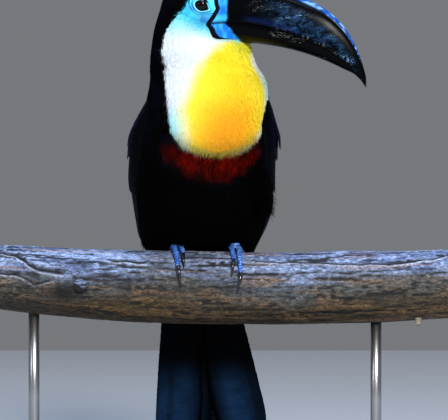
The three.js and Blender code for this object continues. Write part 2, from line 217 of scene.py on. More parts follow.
lacquer, *_ = speckled_material(
    "satin_black_lacquer", LACQUER, 700, 0.5, bump=0.12, Roughness=0.32, Coat_Weight=0.25
)
corner_turn = np.radians(np.arange(0, 360, 90)[:, None] + np.linspace(0, 90, 15)).ravel()
quadrant = np.repeat(np.radians([45, 135, 225, 315]), 15)
corner_centre = np.sign(spot(np.cos(quadrant), np.sin(quadrant))) * (board_high[:2] - BOARD_CORNER)
arris = np.radians(np.linspace(0, 90, 8))
board_inset = np.concatenate([[12, 0.8, 0, 0], BOARD_ARRIS * (1 - np.cos(arris)), [8, 20]])
board_height = board_high[2] - BOARD_ARRIS * (1 - np.sin(arris))
board_height = np.concatenate([[0, 0, 0.8, 7], board_height, [board_high[2]] * 2])
board_edge = (BOARD_CORNER - board_inset)[:, None, None] * spot(np.cos(corner_turn), np.sin(corner_turn))
board_edge = corner_centre + board_edge
board_points, board_faces = closed_tubes(spot(board_edge[..., 0], board_edge[..., 1], board_height[:, None]))
board = add_mesh("display_board", board_points, board_faces, lacquer)
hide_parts("stand_base")

# ---------------------------------------------------------------- display stand: the two rods
# Each rod is turned and brushed steel, 8 mm thick. A low collar at its foot covers the hole in the board, and
# its upper end is glued into a hole drilled in the underside of the branch.
ROD_RADIUS = 4.0
COLLAR_RADIUS = 7.5
ROD_IN_BRANCH = 2.5
STEEL = (0.5, 0.51, 0.53)
# Radius over the rod's or the collar's, and height over the board.
COLLAR = [(0, 0), (0, 1.6), (-0.2, 2), (-0.7, 2.2)]
ROD_FOOT = [(0.5, 2.2), (0.1, 2.3), (0, 2.7)]

steel, *_ = speckled_material(
    "brushed_steel", STEEL, 1200, 0.25, (1, 1, 14), bump=0.1, Metallic=1.0, Roughness=0.3
)
rod_around = np.radians(np.arange(0, 360, 9))
for rod_side in ("left", "right"):
    rod_low, rod_high = (np.array(corner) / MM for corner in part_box(f"stand_rod_{rod_side}"))
    rod_middle, rod_length = (rod_low + rod_high) / 2, rod_high[2] - rod_low[2]
    rod_profile = [(COLLAR_RADIUS + r, h) for r, h in COLLAR] + [(ROD_RADIUS + r, h) for r, h in ROD_FOOT]
    rod_profile += [(ROD_RADIUS, rod_length / 2), (ROD_RADIUS, rod_length + ROD_IN_BRANCH)]
    rod_reach, rod_height = np.array(rod_profile).T[:, :, None]
    rod_x, rod_y = rod_reach * np.cos(rod_around), rod_reach * np.sin(rod_around)
    rod_rings = spot(rod_middle[0] + rod_x, rod_middle[1] + rod_y, board_high[2] + rod_height)
    rod_points, rod_faces = closed_tubes(rod_rings)
    rod = add_mesh(f"display_rod_{rod_side}", rod_points, rod_faces, steel)
    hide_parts(f"stand_rod_{rod_side}")

# ---------------------------------------------------------------- perch: the branch
# A cut length of a dead branch, long stripped of its bark. Sun and rain have raised the grain, opened drying
# cracks along it and silvered its top. Its colour holds painted light: the top's blue cast is a painted
# reflection of the sky, the brown underside is partly painted shade, the cracks are painted dark as shade, and
# the knot has a painted highlight on top and painted shade and shadow below and beside it. Both ends are sawn
# square.
BRANCH = np.array(
    [
        (-168, 160.6, 22.8),
        (-150, 159.9, 23.7),
        (-106, 156.5, 25.4),
        (-33, 153.4, 26.6),
        (33, 151.7, 26.8),
        (106, 152.8, 26.5),
        (177, 155.2, 25.6),
        (190, 155.9, 25.2),
    ]
)
# Drying cracks: places along the branch and bearings from its top towards the breast, then width and depth.
CRACKS = [
    ((-168, -150, -135, -129, -124, -117, -98), (20, 34, 38, 48, 59, 66, 72), 1.8, 2.4),
    ((-168, -150, -137, -130, -125, -120, -115, -106), (79, 80, 80, 83, 88, 92, 89, 82), 0.7, 1.2),
    ((28, 55, 81, 105, 131, 147, 161, 177, 190), (35, 38, 41, 45, 49, 44, 41, 32, 27), 1.0, 1.6),
    ((-73, -55, -37), (42, 45, 47), 1.3, 0.9),
    ((-38, -32, -26), (53, 56, 54), 1.1, 0.7),
    ((60, 100, 140), (128, 133, 131), 0.5, 1.0),
    ((-100, -50, 10), (205, 212, 208), 0.8, 1.6),
    ((20, 90, 150), (262, 255, 259), 0.7, 1.4),
    ((-150, -120, -60), (318, 322, 314), 0.6, 1.2),
]
KNOT = {"x": -88.5, "girth": 91.0, "radius": 5.0}
STUB = {"x": 151.0, "girth": 160.0, "radius": 2.2, "length": 4.4}
GIRTH_RADIUS = 25.0


def smooth_rows(table, place):
    """The table's rows at fractional places: a cubic from row to row, whose slope at a row is half the
    difference of its two neighbours."""
    table = np.asarray(table, float)
    slope = np.gradient(table, axis=0)
    place = np.clip(place, 0, len(table) - 1)
    i = np.minimum(place.astype(int), len(table) - 2)
    f = (place - i)[..., None]
    start, leave = (2 * f**3 - 3 * f**2 + 1), (f**3 - 2 * f**2 + f)
    end, arrive = (3 * f**2 - 2 * f**3), (f**3 - f**2)
    return start * table[i] + leave * slope[i] + end * table[i + 1] + arrive * slope[i + 1]


def branch_point(x, girth, lift=0.0):
    """The bark's point at x and a bearing from the top towards the breast, raised by lift: a circle of slowly
    changing radius with a faint three-sided ripple, round an axis that sags between its ends."""
    x, girth, lift = np.broadcast_arrays(x, np.radians(girth), lift)
    row = smooth_rows(BRANCH, np.interp(x, BRANCH[:, 0], np.arange(len(BRANCH))))
    across, axis, radius = row[..., 0], row[..., 1], row[..., 2]
    ripple = 1 + 0.012 * np.sin(3 * girth + across / 31) + 0.008 * np.sin(2 * girth - across / 23)
    reach = radius * ripple + lift
    return spot(across, -np.sin(girth) * reach, axis + np.cos(girth) * reach)


def value_noise(points, seed):
    """Smooth noise from -1 to 1: random numbers on whole-number lattice points, eased along each of three
    axes."""
    table = np.random.default_rng(seed).uniform(-1, 1, 4096)
    base = np.floor(points).astype(np.int64)
    f = points - base
    f = f * f * (3 - 2 * f)
    total = 0.0
    for corner in range(8):
        step = np.array([corner & 1, corner >> 1 & 1, corner >> 2])
        cell = base + step
        index = (cell[..., 0] * 73856093 ^ cell[..., 1] * 19349663 ^ cell[..., 2] * 83492791) & 4095
        total = total + np.prod(np.where(step, f, 1 - f), axis=-1) * table[index]
    return total


def ease(value, low, high):
    """0 below low, 1 above high, and an S-shaped cubic between."""
    s = np.clip((value - low) / (high - low), 0, 1)
    return s * s * (3 - 2 * s)


def fade(value, full, gone):
    """1 below full, 0 above gone, and an S-shaped cubic between."""
    return ease(-value, -gone, -full)


def window(value, low, full, fading, gone):
    """0 outside low to gone and 1 from full to fading, eased between."""
    return ease(value, low, full) * fade(value, fading, gone)


def bell(value, middle, width):
    """A bell curve: e to the power of minus the square of how many widths the value is from the middle."""
    return np.exp(-(((value - middle) / width) ** 2))


def blend(low, high, share):
    """low where share is 0 and high where it is 1, for colours on the last axis."""
    share = np.clip(share, 0, 1)[..., None]
    return low * (1 - share) + high * share


def painted(colour, *coats):
    """The colour with coats laid over it in turn, each one a colour and the share of it that covers."""
    for coat, share in coats:
        colour = blend(colour, coat, share)
    return colour


def grain(x, girth, length, across, seed):
    """Noise drawn out along the branch: cells of that length, and that far across in mm of girth."""
    turn, ring = np.radians(girth), GIRTH_RADIUS / across
    return value_noise(spot(x / length, np.cos(turn) * ring, np.sin(turn) * ring), seed)


branch_x = np.linspace(BRANCH[0, 0], BRANCH[-1, 0], 420)[:, None]
branch_x, branch_girth = np.broadcast_arrays(branch_x, np.arange(0, 360, 1.8))
girth_sway = branch_girth + 3.0 * grain(branch_x, branch_girth, 40, 30, 11)
raised_grain = grain(branch_x, girth_sway, 17, 1.5, 12)
fine_grain = grain(branch_x, girth_sway, 3.2, 1.0, 13)
lumps = grain(branch_x, branch_girth, 34, 22, 14)
flakes = ease(grain(branch_x, girth_sway, 30, 8, 15) + 0.35 * raised_grain, 0.25, 0.45)
crack_mask, crack_lip, crack_depth = np.zeros((3, *flakes.shape))
for crack_x, crack_girth, crack_width, crack_deep in CRACKS:
    wander = 1.6 * grain(branch_x, 0.0, 7, 30, 16 + len(crack_x))
    gap = (branch_girth - np.interp(branch_x, crack_x, crack_girth) - wander + 180) % 360 - 180
    near_ends = window(branch_x, crack_x[0] - 2, crack_x[0] + 9, crack_x[-1] - 9, crack_x[-1] + 2)
    line = bell(np.radians(gap) * GIRTH_RADIUS, 0, crack_width) * near_ends
    crack_mask = np.maximum(crack_mask, line)
    crack_lip = np.maximum(crack_lip, bell(gap, 1.5 + 2.6 * crack_width, 1.7) * near_ends)
    crack_depth = np.maximum(crack_depth, line * crack_deep)
knot_up = np.radians(KNOT["girth"] - branch_girth) * GIRTH_RADIUS / KNOT["radius"]
knot_away = np.hypot((branch_x - KNOT["x"]) / KNOT["radius"], knot_up)
knot_dome = np.sqrt(np.clip(1 - knot_away**2, 0, 1))
knot_ring = bell(knot_away, 1.15, 0.3)
branch_relief = 0.28 * raised_grain + 0.16 * fine_grain + 0.45 * lumps - 0.35 * flakes - crack_depth
branch_relief = branch_relief + 0.3 * crack_lip - 0.9 * knot_ring - 0.3
branch_relief = branch_relief + knot_dome * (2.3 + 1.6 * fine_grain + 0.5 * np.sin(knot_away * 9))
side_rings = branch_point(branch_x, branch_girth, branch_relief)

SILVER_AND_SKY_SHEEN, WEATHERED, SHADED = srgb(130, 145, 178), srgb(71, 73, 74), srgb(64, 51, 26)
WARM_PATCH, COLD_PATCH, STREAK = srgb(112, 84, 54), srgb(44, 60, 104), srgb(136, 104, 72)
DARK_GRAIN, LOW_DARK, KNOT_SHADOW = srgb(15, 13, 14), srgb(34, 26, 24), srgb(16, 13, 12)
PALE_LIP, CRACK_SHADE, KNOT_DARK = srgb(196, 196, 204), srgb(10, 9, 12), srgb(20, 18, 22)
SAWN, SAWN_RING, STUB_WOOD = srgb(186, 158, 118), srgb(128, 98, 66), srgb(150, 138, 124)
facing_up = np.cos(np.radians(branch_girth - 8))
patches = grain(branch_x, girth_sway, 22, 6, 20) + 0.25 * fine_grain
# Dark patches, kept off the top of the branch.
low_dark_patches = ease(grain(branch_x, girth_sway, 60, 16, 19) + 0.4 * raised_grain, 0.1, 0.8)
# A painted shadow of the knot, below it and towards the branch's left end.
tint_patch = bell(branch_x, KNOT["x"] - 12, 9) * bell(branch_girth, KNOT["girth"] + 13, 13)
# Painted light by how each part faces: the brown underside is partly painted shade, and the silvered top and
# its bluish patches carry a painted blue reflection of the sky.
branch_colour = painted(
    SHADED,
    (WEATHERED, ease(facing_up + 0.3 * lumps, -0.55, 0.3)),
    (SILVER_AND_SKY_SHEEN, ease(facing_up + 0.3 * raised_grain + 0.2 * lumps, 0.3, 0.9)),
    (WARM_PATCH, 0.42 * ease(patches, 0.05, 0.6) * fade(facing_up, -0.1, 0.8)),
    (COLD_PATCH, 0.55 * ease(-patches, 0.05, 0.55) * ease(facing_up, 0.1, 0.7)),
    (STREAK, 0.5 * ease(grain(branch_x, girth_sway, 38, 3.0, 17), 0.3, 0.7)),
    (LOW_DARK, 0.6 * low_dark_patches * fade(facing_up, 0.2, 0.75)),
    (DARK_GRAIN, 0.95 * ease(-raised_grain - 0.5 * fine_grain, 0.08, 0.6)),
)
# The knot is dark with a painted highlight on its top.
knot_highlight = ease(knot_up + 1.2 * fine_grain + 0.6 * raised_grain, 0.1, 0.9)
branch_colour = painted(
    branch_colour * (1 + 0.65 * fine_grain[..., None]) * (1 - 0.35 * flakes[..., None]),
    (KNOT_SHADOW, 1.5 * tint_patch * (1 + raised_grain + fine_grain)),
    # The cracks' lips are pale where they face up, partly peeled wood and partly painted highlight, and the
    # cracks are painted dark as shade.
    (PALE_LIP, 0.6 * crack_lip * ease(facing_up, -0.1, 0.4)),
    (CRACK_SHADE, 1.15 * crack_mask),
    # Painted shade in the knot's ring below it, then the knot with its painted highlight.
    (DARK_GRAIN, 0.9 * knot_ring * fade(knot_up, -0.6, 0.6)),
    (blend(KNOT_DARK, SILVER_AND_SKY_SHEEN, 0.8 * knot_highlight), ease(knot_dome, 0.1, 0.5)),
)

sawn_share = np.linspace(0.02, 0.985, 26)[:, None]
for end_row, end_way in ((0, 1), (-1, -1)):
    rim = side_rings[end_row]
    face = rim.mean(axis=0) + (rim - rim.mean(axis=0)) * sawn_share[..., None]
    ring_wave = np.sin(sawn_share * 95 + 1.5 * lumps[end_row])
    rays = ease(value_noise(spot(branch_girth[:1] / 3, sawn_share, 0), 18), 0.5, 0.9)
    shade = blend(SAWN, SAWN_RING, 0.35 + 0.35 * ring_wave) * (1 - 0.5 * rays[..., None])
    face[..., 0] += 0.12 * end_way * (1 + ring_wave)
    side_rings = np.concatenate([face, side_rings] if end_way > 0 else [side_rings, face[::-1]])
    branch_colour = np.concatenate([shade, branch_colour] if end_way > 0 else [branch_colour, shade[::-1]])

stub_turn = np.radians(np.arange(0, 360, 15))
stub_along = np.linspace(-2, STUB["length"], 9)[:, None]
stub_thick = STUB["radius"] * (1 - 0.03 * stub_along - 0.12 * (stub_along > STUB["length"] - 0.4))
stub_wave = 1 + 0.12 * np.sin(3 * stub_turn) + 0.05 * np.sin(7 * stub_turn)
stub_girth = STUB["girth"] - np.degrees(stub_thick * stub_wave * np.sin(stub_turn) / 26.5)
stub_rings = branch_point(STUB["x"] + stub_thick * stub_wave * np.cos(stub_turn), stub_girth, stub_along)
stub_colour = np.broadcast_to(STUB_WOOD, stub_rings.shape) * (0.75 + 0.06 * stub_along[..., None])

wood, *_ = speckled_material(
    "weathered_wood", "shade", 780, 4.2, (0.6, 1, 1), bump=1.0, depth=0.0009, Roughness=0.78
)
branch_points, branch_faces = closed_tubes(side_rings[:, ::-1])
stub_points, stub_faces = closed_tubes(stub_rings)
branch = add_mesh(
    "perch_bare_branch",
    np.concatenate([branch_points, stub_points]),
    branch_faces + [f + len(branch_points) for f in stub_faces],
    wood,
    np.concatenate([per_point(branch_colour[:, ::-1]), per_point(stub_colour)]),
)
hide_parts("perch_branch")

# ---------------------------------------------------------------- the bird's skin
# One skin covers head, neck, trunk and rump. Under the plumage it has the feathers' own colours, darkened as
# painted shade between the feathers, and lies as deep as they are thick. Round each eye it is bare, sky-blue
# and finely granular, and folds into two lids; its furrows, its socket and the skin below the eye are painted
# darker as shade. Rows from the rump to the crown: centre x, y, z, then the reach right (+X), left, front (-Y)
# and back, then the turn to the bird's right and the rise of each section's back, in degrees.
BODY = np.array(
    [
        (-1, 56, 121, 13, 13, 1.5, 1.5, 0, 8),
        (-1.5, 54.5, 127, 21, 21, 4, 4, 0, 8),
        (-2, 51.5, 139, 26, 26, 7, 7.5, 0, 10),
        (-3, 47, 153, 30, 30, 10.5, 10.5, 0, 18),
        (-3, 40.5, 168, 35, 35, 15, 14.5, 0, 22),
        (-3, 31, 185, 41.5, 43, 29, 24.5, 0, 13),
        (-3, 23, 198, 46, 44.5, 44, 32, 0, 11),
        (-3, 14, 213, 49, 46, 52, 40, 0, 5),
        (-3, 6, 231, 49, 48, 55, 45, 0, 2),
        (-2, 0, 250, 48.5, 48, 53, 46, 0, 0),
        (-1, -3, 268, 47.5, 47, 50, 44, 0, 0),
        (1, -4, 286, 46.5, 44.5, 47, 39, 0, 0),
        (1.5, -5, 302, 43.5, 42, 41, 34, 0, 0),
        (-1, -6, 317, 38, 39, 34, 27.5, 0, 0),
        (-6, -7, 329, 40, 33, 27.5, 22.5, 8, 0),
        (-11, -8, 341, 42, 26, 23, 21, 14, 0),
        (-12.5, -8, 354, 41, 20.5, 20.5, 20.5, 15, 0),
        (-13, -8, 365, 37, 16.5, 18, 18, 15, 0),
        (-13, -8, 372.5, 25, 12, 12.5, 12.5, 15, 0),
        (-12.5, -8, 377.4, 12, 7.5, 7, 7, 15, 0),
        (-12, -8, 379, 1.5, 1.5, 1.5, 1.5, 15, 0),
    ]
)
BODY_TOP = len(BODY) - 1
HEAD_AT = np.array([-12.5, -8.0])
HEAD_BEARING = math.radians(75)
EYE = {"forward": 14.9, "aside": 13.8, "height": 358.0, "radius": 6.2}
LIDS = {"forward": 15.7, "length": 5.1, "height": 3.45, "droop": -28.0, "rise": -0.9}


def outline(place, bearing, lift=0.0):
    """The plumage's outer surface at a place along BODY and a bearing in degrees from the breast (-Y) towards
    +X: an ellipse with its own reach on each of four sides, turned and tilted as its row says."""
    place, bearing, lift = np.broadcast_arrays(place, np.radians(bearing), lift)
    row = smooth_rows(BODY, place)
    s, c = np.sin(bearing), -np.cos(bearing)
    across = s * (np.where(s > 0, row[..., 3], row[..., 4]) + lift)
    back = c * (np.where(c < 0, row[..., 5], row[..., 6]) + lift)
    turn, tilt = np.radians(row[..., 7]), np.radians(row[..., 8])
    x = across * np.cos(turn) + back * np.sin(turn)
    y = back * np.cos(turn) - across * np.sin(turn)
    return spot(row[..., 0] + x, row[..., 1] + y * np.cos(tilt), row[..., 2] + y * np.sin(tilt))


def head_frame(points):
    """How far points lie forward of the head's axis, along the bill, and aside of it, to the bird's right."""
    x, y = points[..., 0] - HEAD_AT[0], points[..., 1] - HEAD_AT[1]
    s, c = math.sin(HEAD_BEARING), math.cos(HEAD_BEARING)
    return x * s - y * c, -x * c - y * s


def head_point(forward, aside, height):
    """The point at a place in the head's own frame."""
    s, c = math.sin(HEAD_BEARING), math.cos(HEAD_BEARING)
    return spot(HEAD_AT[0] + forward * s - aside * c, HEAD_AT[1] - forward * c - aside * s, height)


def lid_distance(forward, height):
    """Millimetres outside the eye's opening, negative within: an ellipse that droops forward and is drawn to
    a point at its front corner. Also the share of the way from above the eye (0) to below it (1)."""
    droop = math.radians(LIDS["droop"])
    e, h = forward - LIDS["forward"], height - EYE["height"] - LIDS["rise"]
    along = (e * math.cos(droop) + h * math.sin(droop)) / LIDS["length"]
    over = (h * math.cos(droop) - e * math.sin(droop)) / LIDS["height"]
    narrowed = over * (1 + 0.75 * np.clip(along, 0, 1.2) ** 2)
    return (np.hypot(along, narrowed) - 1) * 4.1, fade(over, -0.8, 0.6)


# The bib's edges, then its yellow's: height, and the bearings of the bird's right and left edge.
BIB = np.array(
    [
        (247.2, 11, 15),
        (248.5, 3, 25),
        (250, -6, 34),
        (254, -16, 46),
        (259, -22, 54),
        (263, -26, 62),
        (268, -30, 68),
        (277, -35, 76),
        (285, -38, 79),
        (298, -44, 86),
        (307, -48, 98),
        (316, -48, 118),
        (323, -47, 146),
        (333, -37, 176),
        (338, -31, 187),
        (345, -18, 195),
        (349, -8, 188),
        (356, 4, 176),
        (361.5, 8, 172),
        (365, 14, 166),
        (368.5, 30, 150),
        (372, 60, 120),
        (374, 89, 91),
    ]
)
YELLOW = np.array(
    [
        (246, 10, 18),
        (248, 5, 26),
        (250, -3, 33),
        (254, -11, 43),
        (259, -13, 51),
        (268, -15, 61),
        (281, -22, 66),
        (294, -17, 68),
        (303, -14, 65),
        (311, -9, 64),
        (316, -3, 66),
        (320, 7, 70),
        (325, 22, 78),
        (330, 34, 92),
        (336, 46, 106),
    ]
)
PURE_WHITE, SKYLIT_WHITE, SKY = srgb(228, 231, 232), srgb(112, 220, 228), srgb(50, 188, 216)
LEMON, GOLD, ORANGE = srgb(250, 240, 62), srgb(246, 212, 34), srgb(240, 158, 26)
THROAT_SHADE, RIM, BLACK, NAVY = srgb(196, 200, 52), srgb(132, 150, 74), srgb(3, 3, 4), srgb(6, 10, 24)
CYAN, UNDER_EYE_SHADE = srgb(64, 196, 224), srgb(6, 84, 150)
RED, DARK_RED = srgb(98, 6, 1), srgb(18, 2, 1)


def between(bearing, table, height, soft, outward=0.0):
    """1 between a table's two bearings at that height, 0 outside, over soft degrees to each side of the
    edge."""
    low = np.interp(height, table[:, 0], table[:, 1]) - outward
    high = np.interp(height, table[:, 0], table[:, 2]) + outward
    within = window(bearing, low - soft, low + soft, high - soft, high + soft)
    return within * (height > table[0, 0]) * (height < table[-1, 0])


def markings(points, bearing):
    """The plumage's colour at points, the share that is bib, and the share that is bare skin. The bib is
    white with a yellow middle that deepens to orange; below it is a dark red band; the rest is black, but for
    red over and under the tail. Bearings are measured as in outline, and heights are the points' own."""
    z = points[..., 2]
    bearing = (bearing + 90) % 360 - 90
    forward = head_frame(points)[0]
    wander = value_noise(points / 3.1, 21)
    reach = value_noise(points / np.array([7, 7, 24]), 22)
    mottle = ease(value_noise(points / np.array([1.6, 1.6, 4]), 23), -0.5, 0.5)
    bib = between(bearing + 1.2 * wander, BIB, z + 0.5 * wander, 1.6)
    inner = between(bearing, BIB, z - 3.5, 6, -7)

    low, high = (np.interp(z, YELLOW[:, 0], YELLOW[:, k]) for k in (1, 2))
    soft = 4 + 9 * ease(z, 250, 262)
    yellow = ease(bearing + 4 * reach, low - soft, low + 0.8 * soft) * fade(z, 327, 337)
    yellow = yellow * fade(bearing - 3 * reach, high - 6, high + 8)
    rich = np.exp(-(np.abs((bearing - 22) / 31) ** 2.4) - np.abs((z - 265) / 24) ** 2.4)
    gold = painted(LEMON, (GOLD, bell(bearing, 26, 33)), (ORANGE, 0.95 * rich))
    # The white carries a painted cool reflection of the sky towards the face, on the lower left and along the
    # right edge, and the lower left is darkened with painted shade.
    white = painted(
        PURE_WHITE,
        (SKYLIT_WHITE, ease(z, 326, 351) ** 1.2),
        (SKYLIT_WHITE, 0.8 * fade(bearing, -32, -8) * fade(z, 264, 292)),
        (SKYLIT_WHITE, 0.25 * ease(bearing, 56, 74) * fade(z, 300, 318)),
    )
    white = white * (1 - 0.22 * fade(bearing, -30, -8) * fade(z, 260, 276))[..., None]
    light = painted(white, (gold, yellow), (RIM, 0.65 * (1 - inner) * fade(z - 1.2 * reach, 252, 268)))
    # The bib darkens towards its lower edge: partly painted shade under the breast's curve, partly darker
    # feather tips.
    light = light * np.interp(z, [246, 251, 259, 268], [0.45, 0.55, 0.8, 1])[..., None]

    # The throat under the bill is painted a dull greenish yellow: painted shadow of the bill.
    throat_shade = ease(z + 1.5 * reach, 315, 328) * window(bearing, 30, 52, 100, 128) * (z < 342)
    line = 351 - 0.42 * (forward - 4)
    blue = ease(z + 1.2 * wander, line - 9, line + 4) * ease(bearing, -12, 2) * (z > 336)
    blue = np.where(bearing > 90, ease(z, line - 9, line + 4) * fade(bearing, 178, 192), blue)
    near_blue = ease(z + 1.2 * wander, line - 15, line - 2) * window(bearing, -6, 14, 90, 110) * (z > 330)
    # Painted shade below the eye, in deep blue.
    under_eye_shade = bell(forward, 15.5, 5.5) * bell(z, 347.5, 4.8)
    light = painted(
        light, (THROAT_SHADE, 0.75 * throat_shade), (CYAN, 0.8 * near_blue), (SKY, blue), (UNDER_EYE_SHADE, 0.85 * under_eye_shade)
    )

    red_edge = 230.5 + 16 * (np.abs(bearing - 13) / 46) ** 1.7 + 2.4 * wander + 1.5 * reach
    band = window(z, red_edge - 2.5, red_edge + 5, 249, 259) * window(bearing, -42, -31, 66, 76)
    tail_red = fade(z - 3 * wander, 194, 204) * fade(np.abs((bearing + 360) % 360 - 180), 55, 70)
    red = np.maximum(band, 0.9 * np.maximum(tail_red, fade(z, 140, 150)))
    # The navy is a painted blue sheen on the black plumage, stronger high on the body.
    sheen = ease(value_noise(points / 9, 24), -0.4, 0.7) * ease(z, 215, 250)
    dark = painted(BLACK, (NAVY, 0.55 * sheen), (blend(DARK_RED, RED, mottle), red))
    return blend(dark, light, bib), bib, blue * bib


# How deep the skin lies under the plumage, by height.
COAT_HEIGHTS, COAT_DEPTHS = (121, 150, 180, 300, 330, 350), (0.8, 2.5, 5, 5, 3.2, 2.0)
SOCKET_DEPTH = 6.2
EYE_BEARING = math.degrees(math.asin(LIDS["forward"] / 39.8))
near_eye = np.arange(-18.5, 22.6, 0.4)
skin_bearings = np.concatenate(
    [
        np.linspace(EYE_BEARING + 23, 157 - EYE_BEARING, 68),
        180 - EYE_BEARING - near_eye[::-1],
        np.linspace(180 - EYE_BEARING + 19, 360 + EYE_BEARING - 19, 118),
        360 + EYE_BEARING + near_eye,
    ]
)
skin_heights = np.concatenate(
    [np.arange(121, 300, 2.2), np.arange(300, 344, 1.3), np.arange(344, 371, 0.29), np.linspace(371, 379, 10)]
)
skin_places = np.interp(skin_heights, BODY[:, 2], np.arange(len(BODY)))[:, None]
skin_places, skin_bearings = np.broadcast_arrays(skin_places, skin_bearings)
plumage_surface = outline(skin_places, skin_bearings)
skin_colour, skin_bib, skin_bare = markings(plumage_surface, skin_bearings)
forward, aside = head_frame(plumage_surface)
height = plumage_surface[..., 2]
outside, below = lid_distance(forward, height)
# Folds round the opening: the lid's rim, the furrow behind it, then a ridge, a furrow and a ridge under the
# eye.
folds = 0.75 * bell(outside, 0.75, 0.62) - 0.42 * bell(outside, 2.0, 0.5)
folds += (0.15 + 0.25 * below) * bell(outside, 3.0, 0.6) - (0.08 + 0.26 * below) * bell(outside, 4.1, 0.45)
folds += 0.2 * below * bell(outside, 5.1, 0.6)
granules = value_noise(spot(forward, height, aside * 0.3) / 0.55, 25)
creases = value_noise(spot(forward / 3.5, height / 0.8, aside * 0.1), 26)
folds += skin_bare * (0.05 * granules + 0.07 * creases)
skin_lift = folds * (outside < 9) - SOCKET_DEPTH * fade(outside, -0.7, 0.25)
skin_lift -= np.interp(height, COAT_HEIGHTS, COAT_DEPTHS) * (1 - 0.9 * skin_bare)
skin_rings = outline(skin_places, skin_bearings, skin_lift)
skin_rings[..., 2] -= 2.2 * ease(height, 367, 379) - 1.5 * fade(height, 121, 150)

PALE_SKIN, DEEP_SKY, LID_RIM = srgb(78, 214, 238), srgb(18, 104, 190), srgb(176, 240, 250)
CREASE_SHADE, SOCKET_SHADE = srgb(8, 72, 148), srgb(12, 14, 20)
bare_tone = value_noise(spot(forward, height, 0) / 4.5, 27)
# Where painted shade darkens the furrows round the eye, more so below it.
crease_shade = bell(outside, 2.05, 0.42) * (0.35 + 0.65 * below) + 0.7 * below * bell(outside, 4.1, 0.5)
# Under the plumage the skin is darkened, painted shade between the feathers.
skin_colour = painted(
    skin_colour * (1 - (0.45 - 0.33 * skin_bib) * (1 - skin_bare))[..., None],
    (PALE_SKIN, skin_bare * ease(bare_tone, -0.1, 0.9) * 0.5),
    (DEEP_SKY, skin_bare * ease(-bare_tone + 0.3 * creases, -0.1, 0.9) * 0.45),
    # Painted shade: a deeper blue below the front of the eye.
    (DEEP_SKY, skin_bare * ease(forward, 14, 21) * fade(height, 345, 353) * 0.7),
    (LID_RIM, skin_bare * bell(outside, 0.7, 0.36) * (0.3 + 0.6 * below)),
    # Painted shade in the furrows, and a painted dark rim in the socket round the eyeball.
    (CREASE_SHADE, skin_bare * 0.9 * crease_shade),
    (SOCKET_SHADE, fade(outside, -0.05, 0.22)),
)


def tube_uvs(count, rows, columns, corners=(0.01, 0.99, 0.01, 0.99)):
    """UVs per face corner for closed_tubes: columns run across and rows up, each tube filling its own
    rectangle (left, right, bottom, top), given as one rectangle or one a tube. The fans take a thin strip at
    each end."""
    left, right, bottom, top = (np.broadcast_to(np.asarray(c, float), (count,))[:, None] for c in corners)
    row, column = np.mgrid[0 : rows - 1, 0:columns]
    quad_u = spot(column, column + 1, column + 1, column).ravel() / columns
    quad_v = 0.03 + 0.94 * spot(row, row, row + 1, row + 1).ravel() / (rows - 1)
    one = np.arange(columns)
    low_u, low_v = spot(one + 0.5, one + 1, one).ravel() / columns, np.tile([0, 0.03, 0.03], columns)
    high_u, high_v = spot(one + 0.5, one, one + 1).ravel() / columns, np.tile([1, 0.97, 0.97], columns)
    parts = [
        spot(left + (right - left) * u, bottom + (top - bottom) * v).reshape(-1, 2)
        for u, v in ((quad_u, quad_v), (low_u, low_v), (high_u, high_v))
    ]
    return np.concatenate(parts)


skin_material, *_ = speckled_material(
    "bird_skin", "shade", 2600, 0.22, bump=0.35, depth=0.00015, Roughness=0.5, Specular_IOR_Level=0.3,
    Subsurface_Weight=0.12, Subsurface_Radius=(0.001, 0.0012, 0.0016),
)
skin_map = {"OFBake": tube_uvs(1, *skin_rings.shape[:2])}
skin = add_mesh("toucan_skin", *closed_tubes(skin_rings), skin_material, per_point(skin_colour), skin_map)
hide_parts("head", "neck", "trunk", "rump")

# ---------------------------------------------------------------- the bill
# Both mandibles are a thin horn sheath over light bone. The upper one hooks over the lower at the tip and has
# a rounded ridge along the top, parted from the side by a groove. A black line borders the sky-blue base; the
# rest is glossy black, with pale chips on the cutting edges. A painted blue reflection of the sky runs along
# the ridge with painted highlights, and lies dull blue low on the upper mandible's side; its side bears scuff
# marks whose blue-grey is partly painted reflection of the sky. Rows from base to tip: forward of the head's
# axis, heights of culmen, cutting edge and keel, and half the width.
BILL = np.array(
    [
        (20, 370.9, 344.2, 330.8, 15.6),
        (30, 371.7, 345.2, 330.6, 15.8),
        (45, 371.6, 345.1, 330.4, 14.8),
        (58, 370.6, 343.4, 329.2, 13.6),
        (72, 368, 340.1, 327.2, 12.2),
        (86, 362.8, 335.8, 323.8, 10.4),
        (98, 357.2, 331.2, 319.8, 8.7),
        (108, 350.4, 326, 315.8, 7.1),
        (116.5, 341.6, 319, 311.8, 5.4),
        (123.5, 331, 312.6, 308.6, 3.9),
        (127.8, 321.5, 307, 305, 2.9),
        (130.6, 313.6, 302.2, 301.6, 2.2),
        (132.6, 306.4, 299, 298.8, 1.5),
    ]
)
LOWER_TIP = 10.6
# How far forward the horn begins at each height.
BILL_BASE = np.array(
    [
        (330.4, 41),
        (331.4, 34),
        (332.6, 29),
        (335, 25),
        (338, 23.6),
        (341, 22.4),
        (343.6, 20.2),
        (345, 20.4),
        (349, 23.2),
        (353, 25.4),
        (355.6, 26.6),
        (358, 25.6),
        (363, 24.8),
        (368, 25.4),
        (372, 25.8),
    ]
)
MOUTH_GAP = 0.3

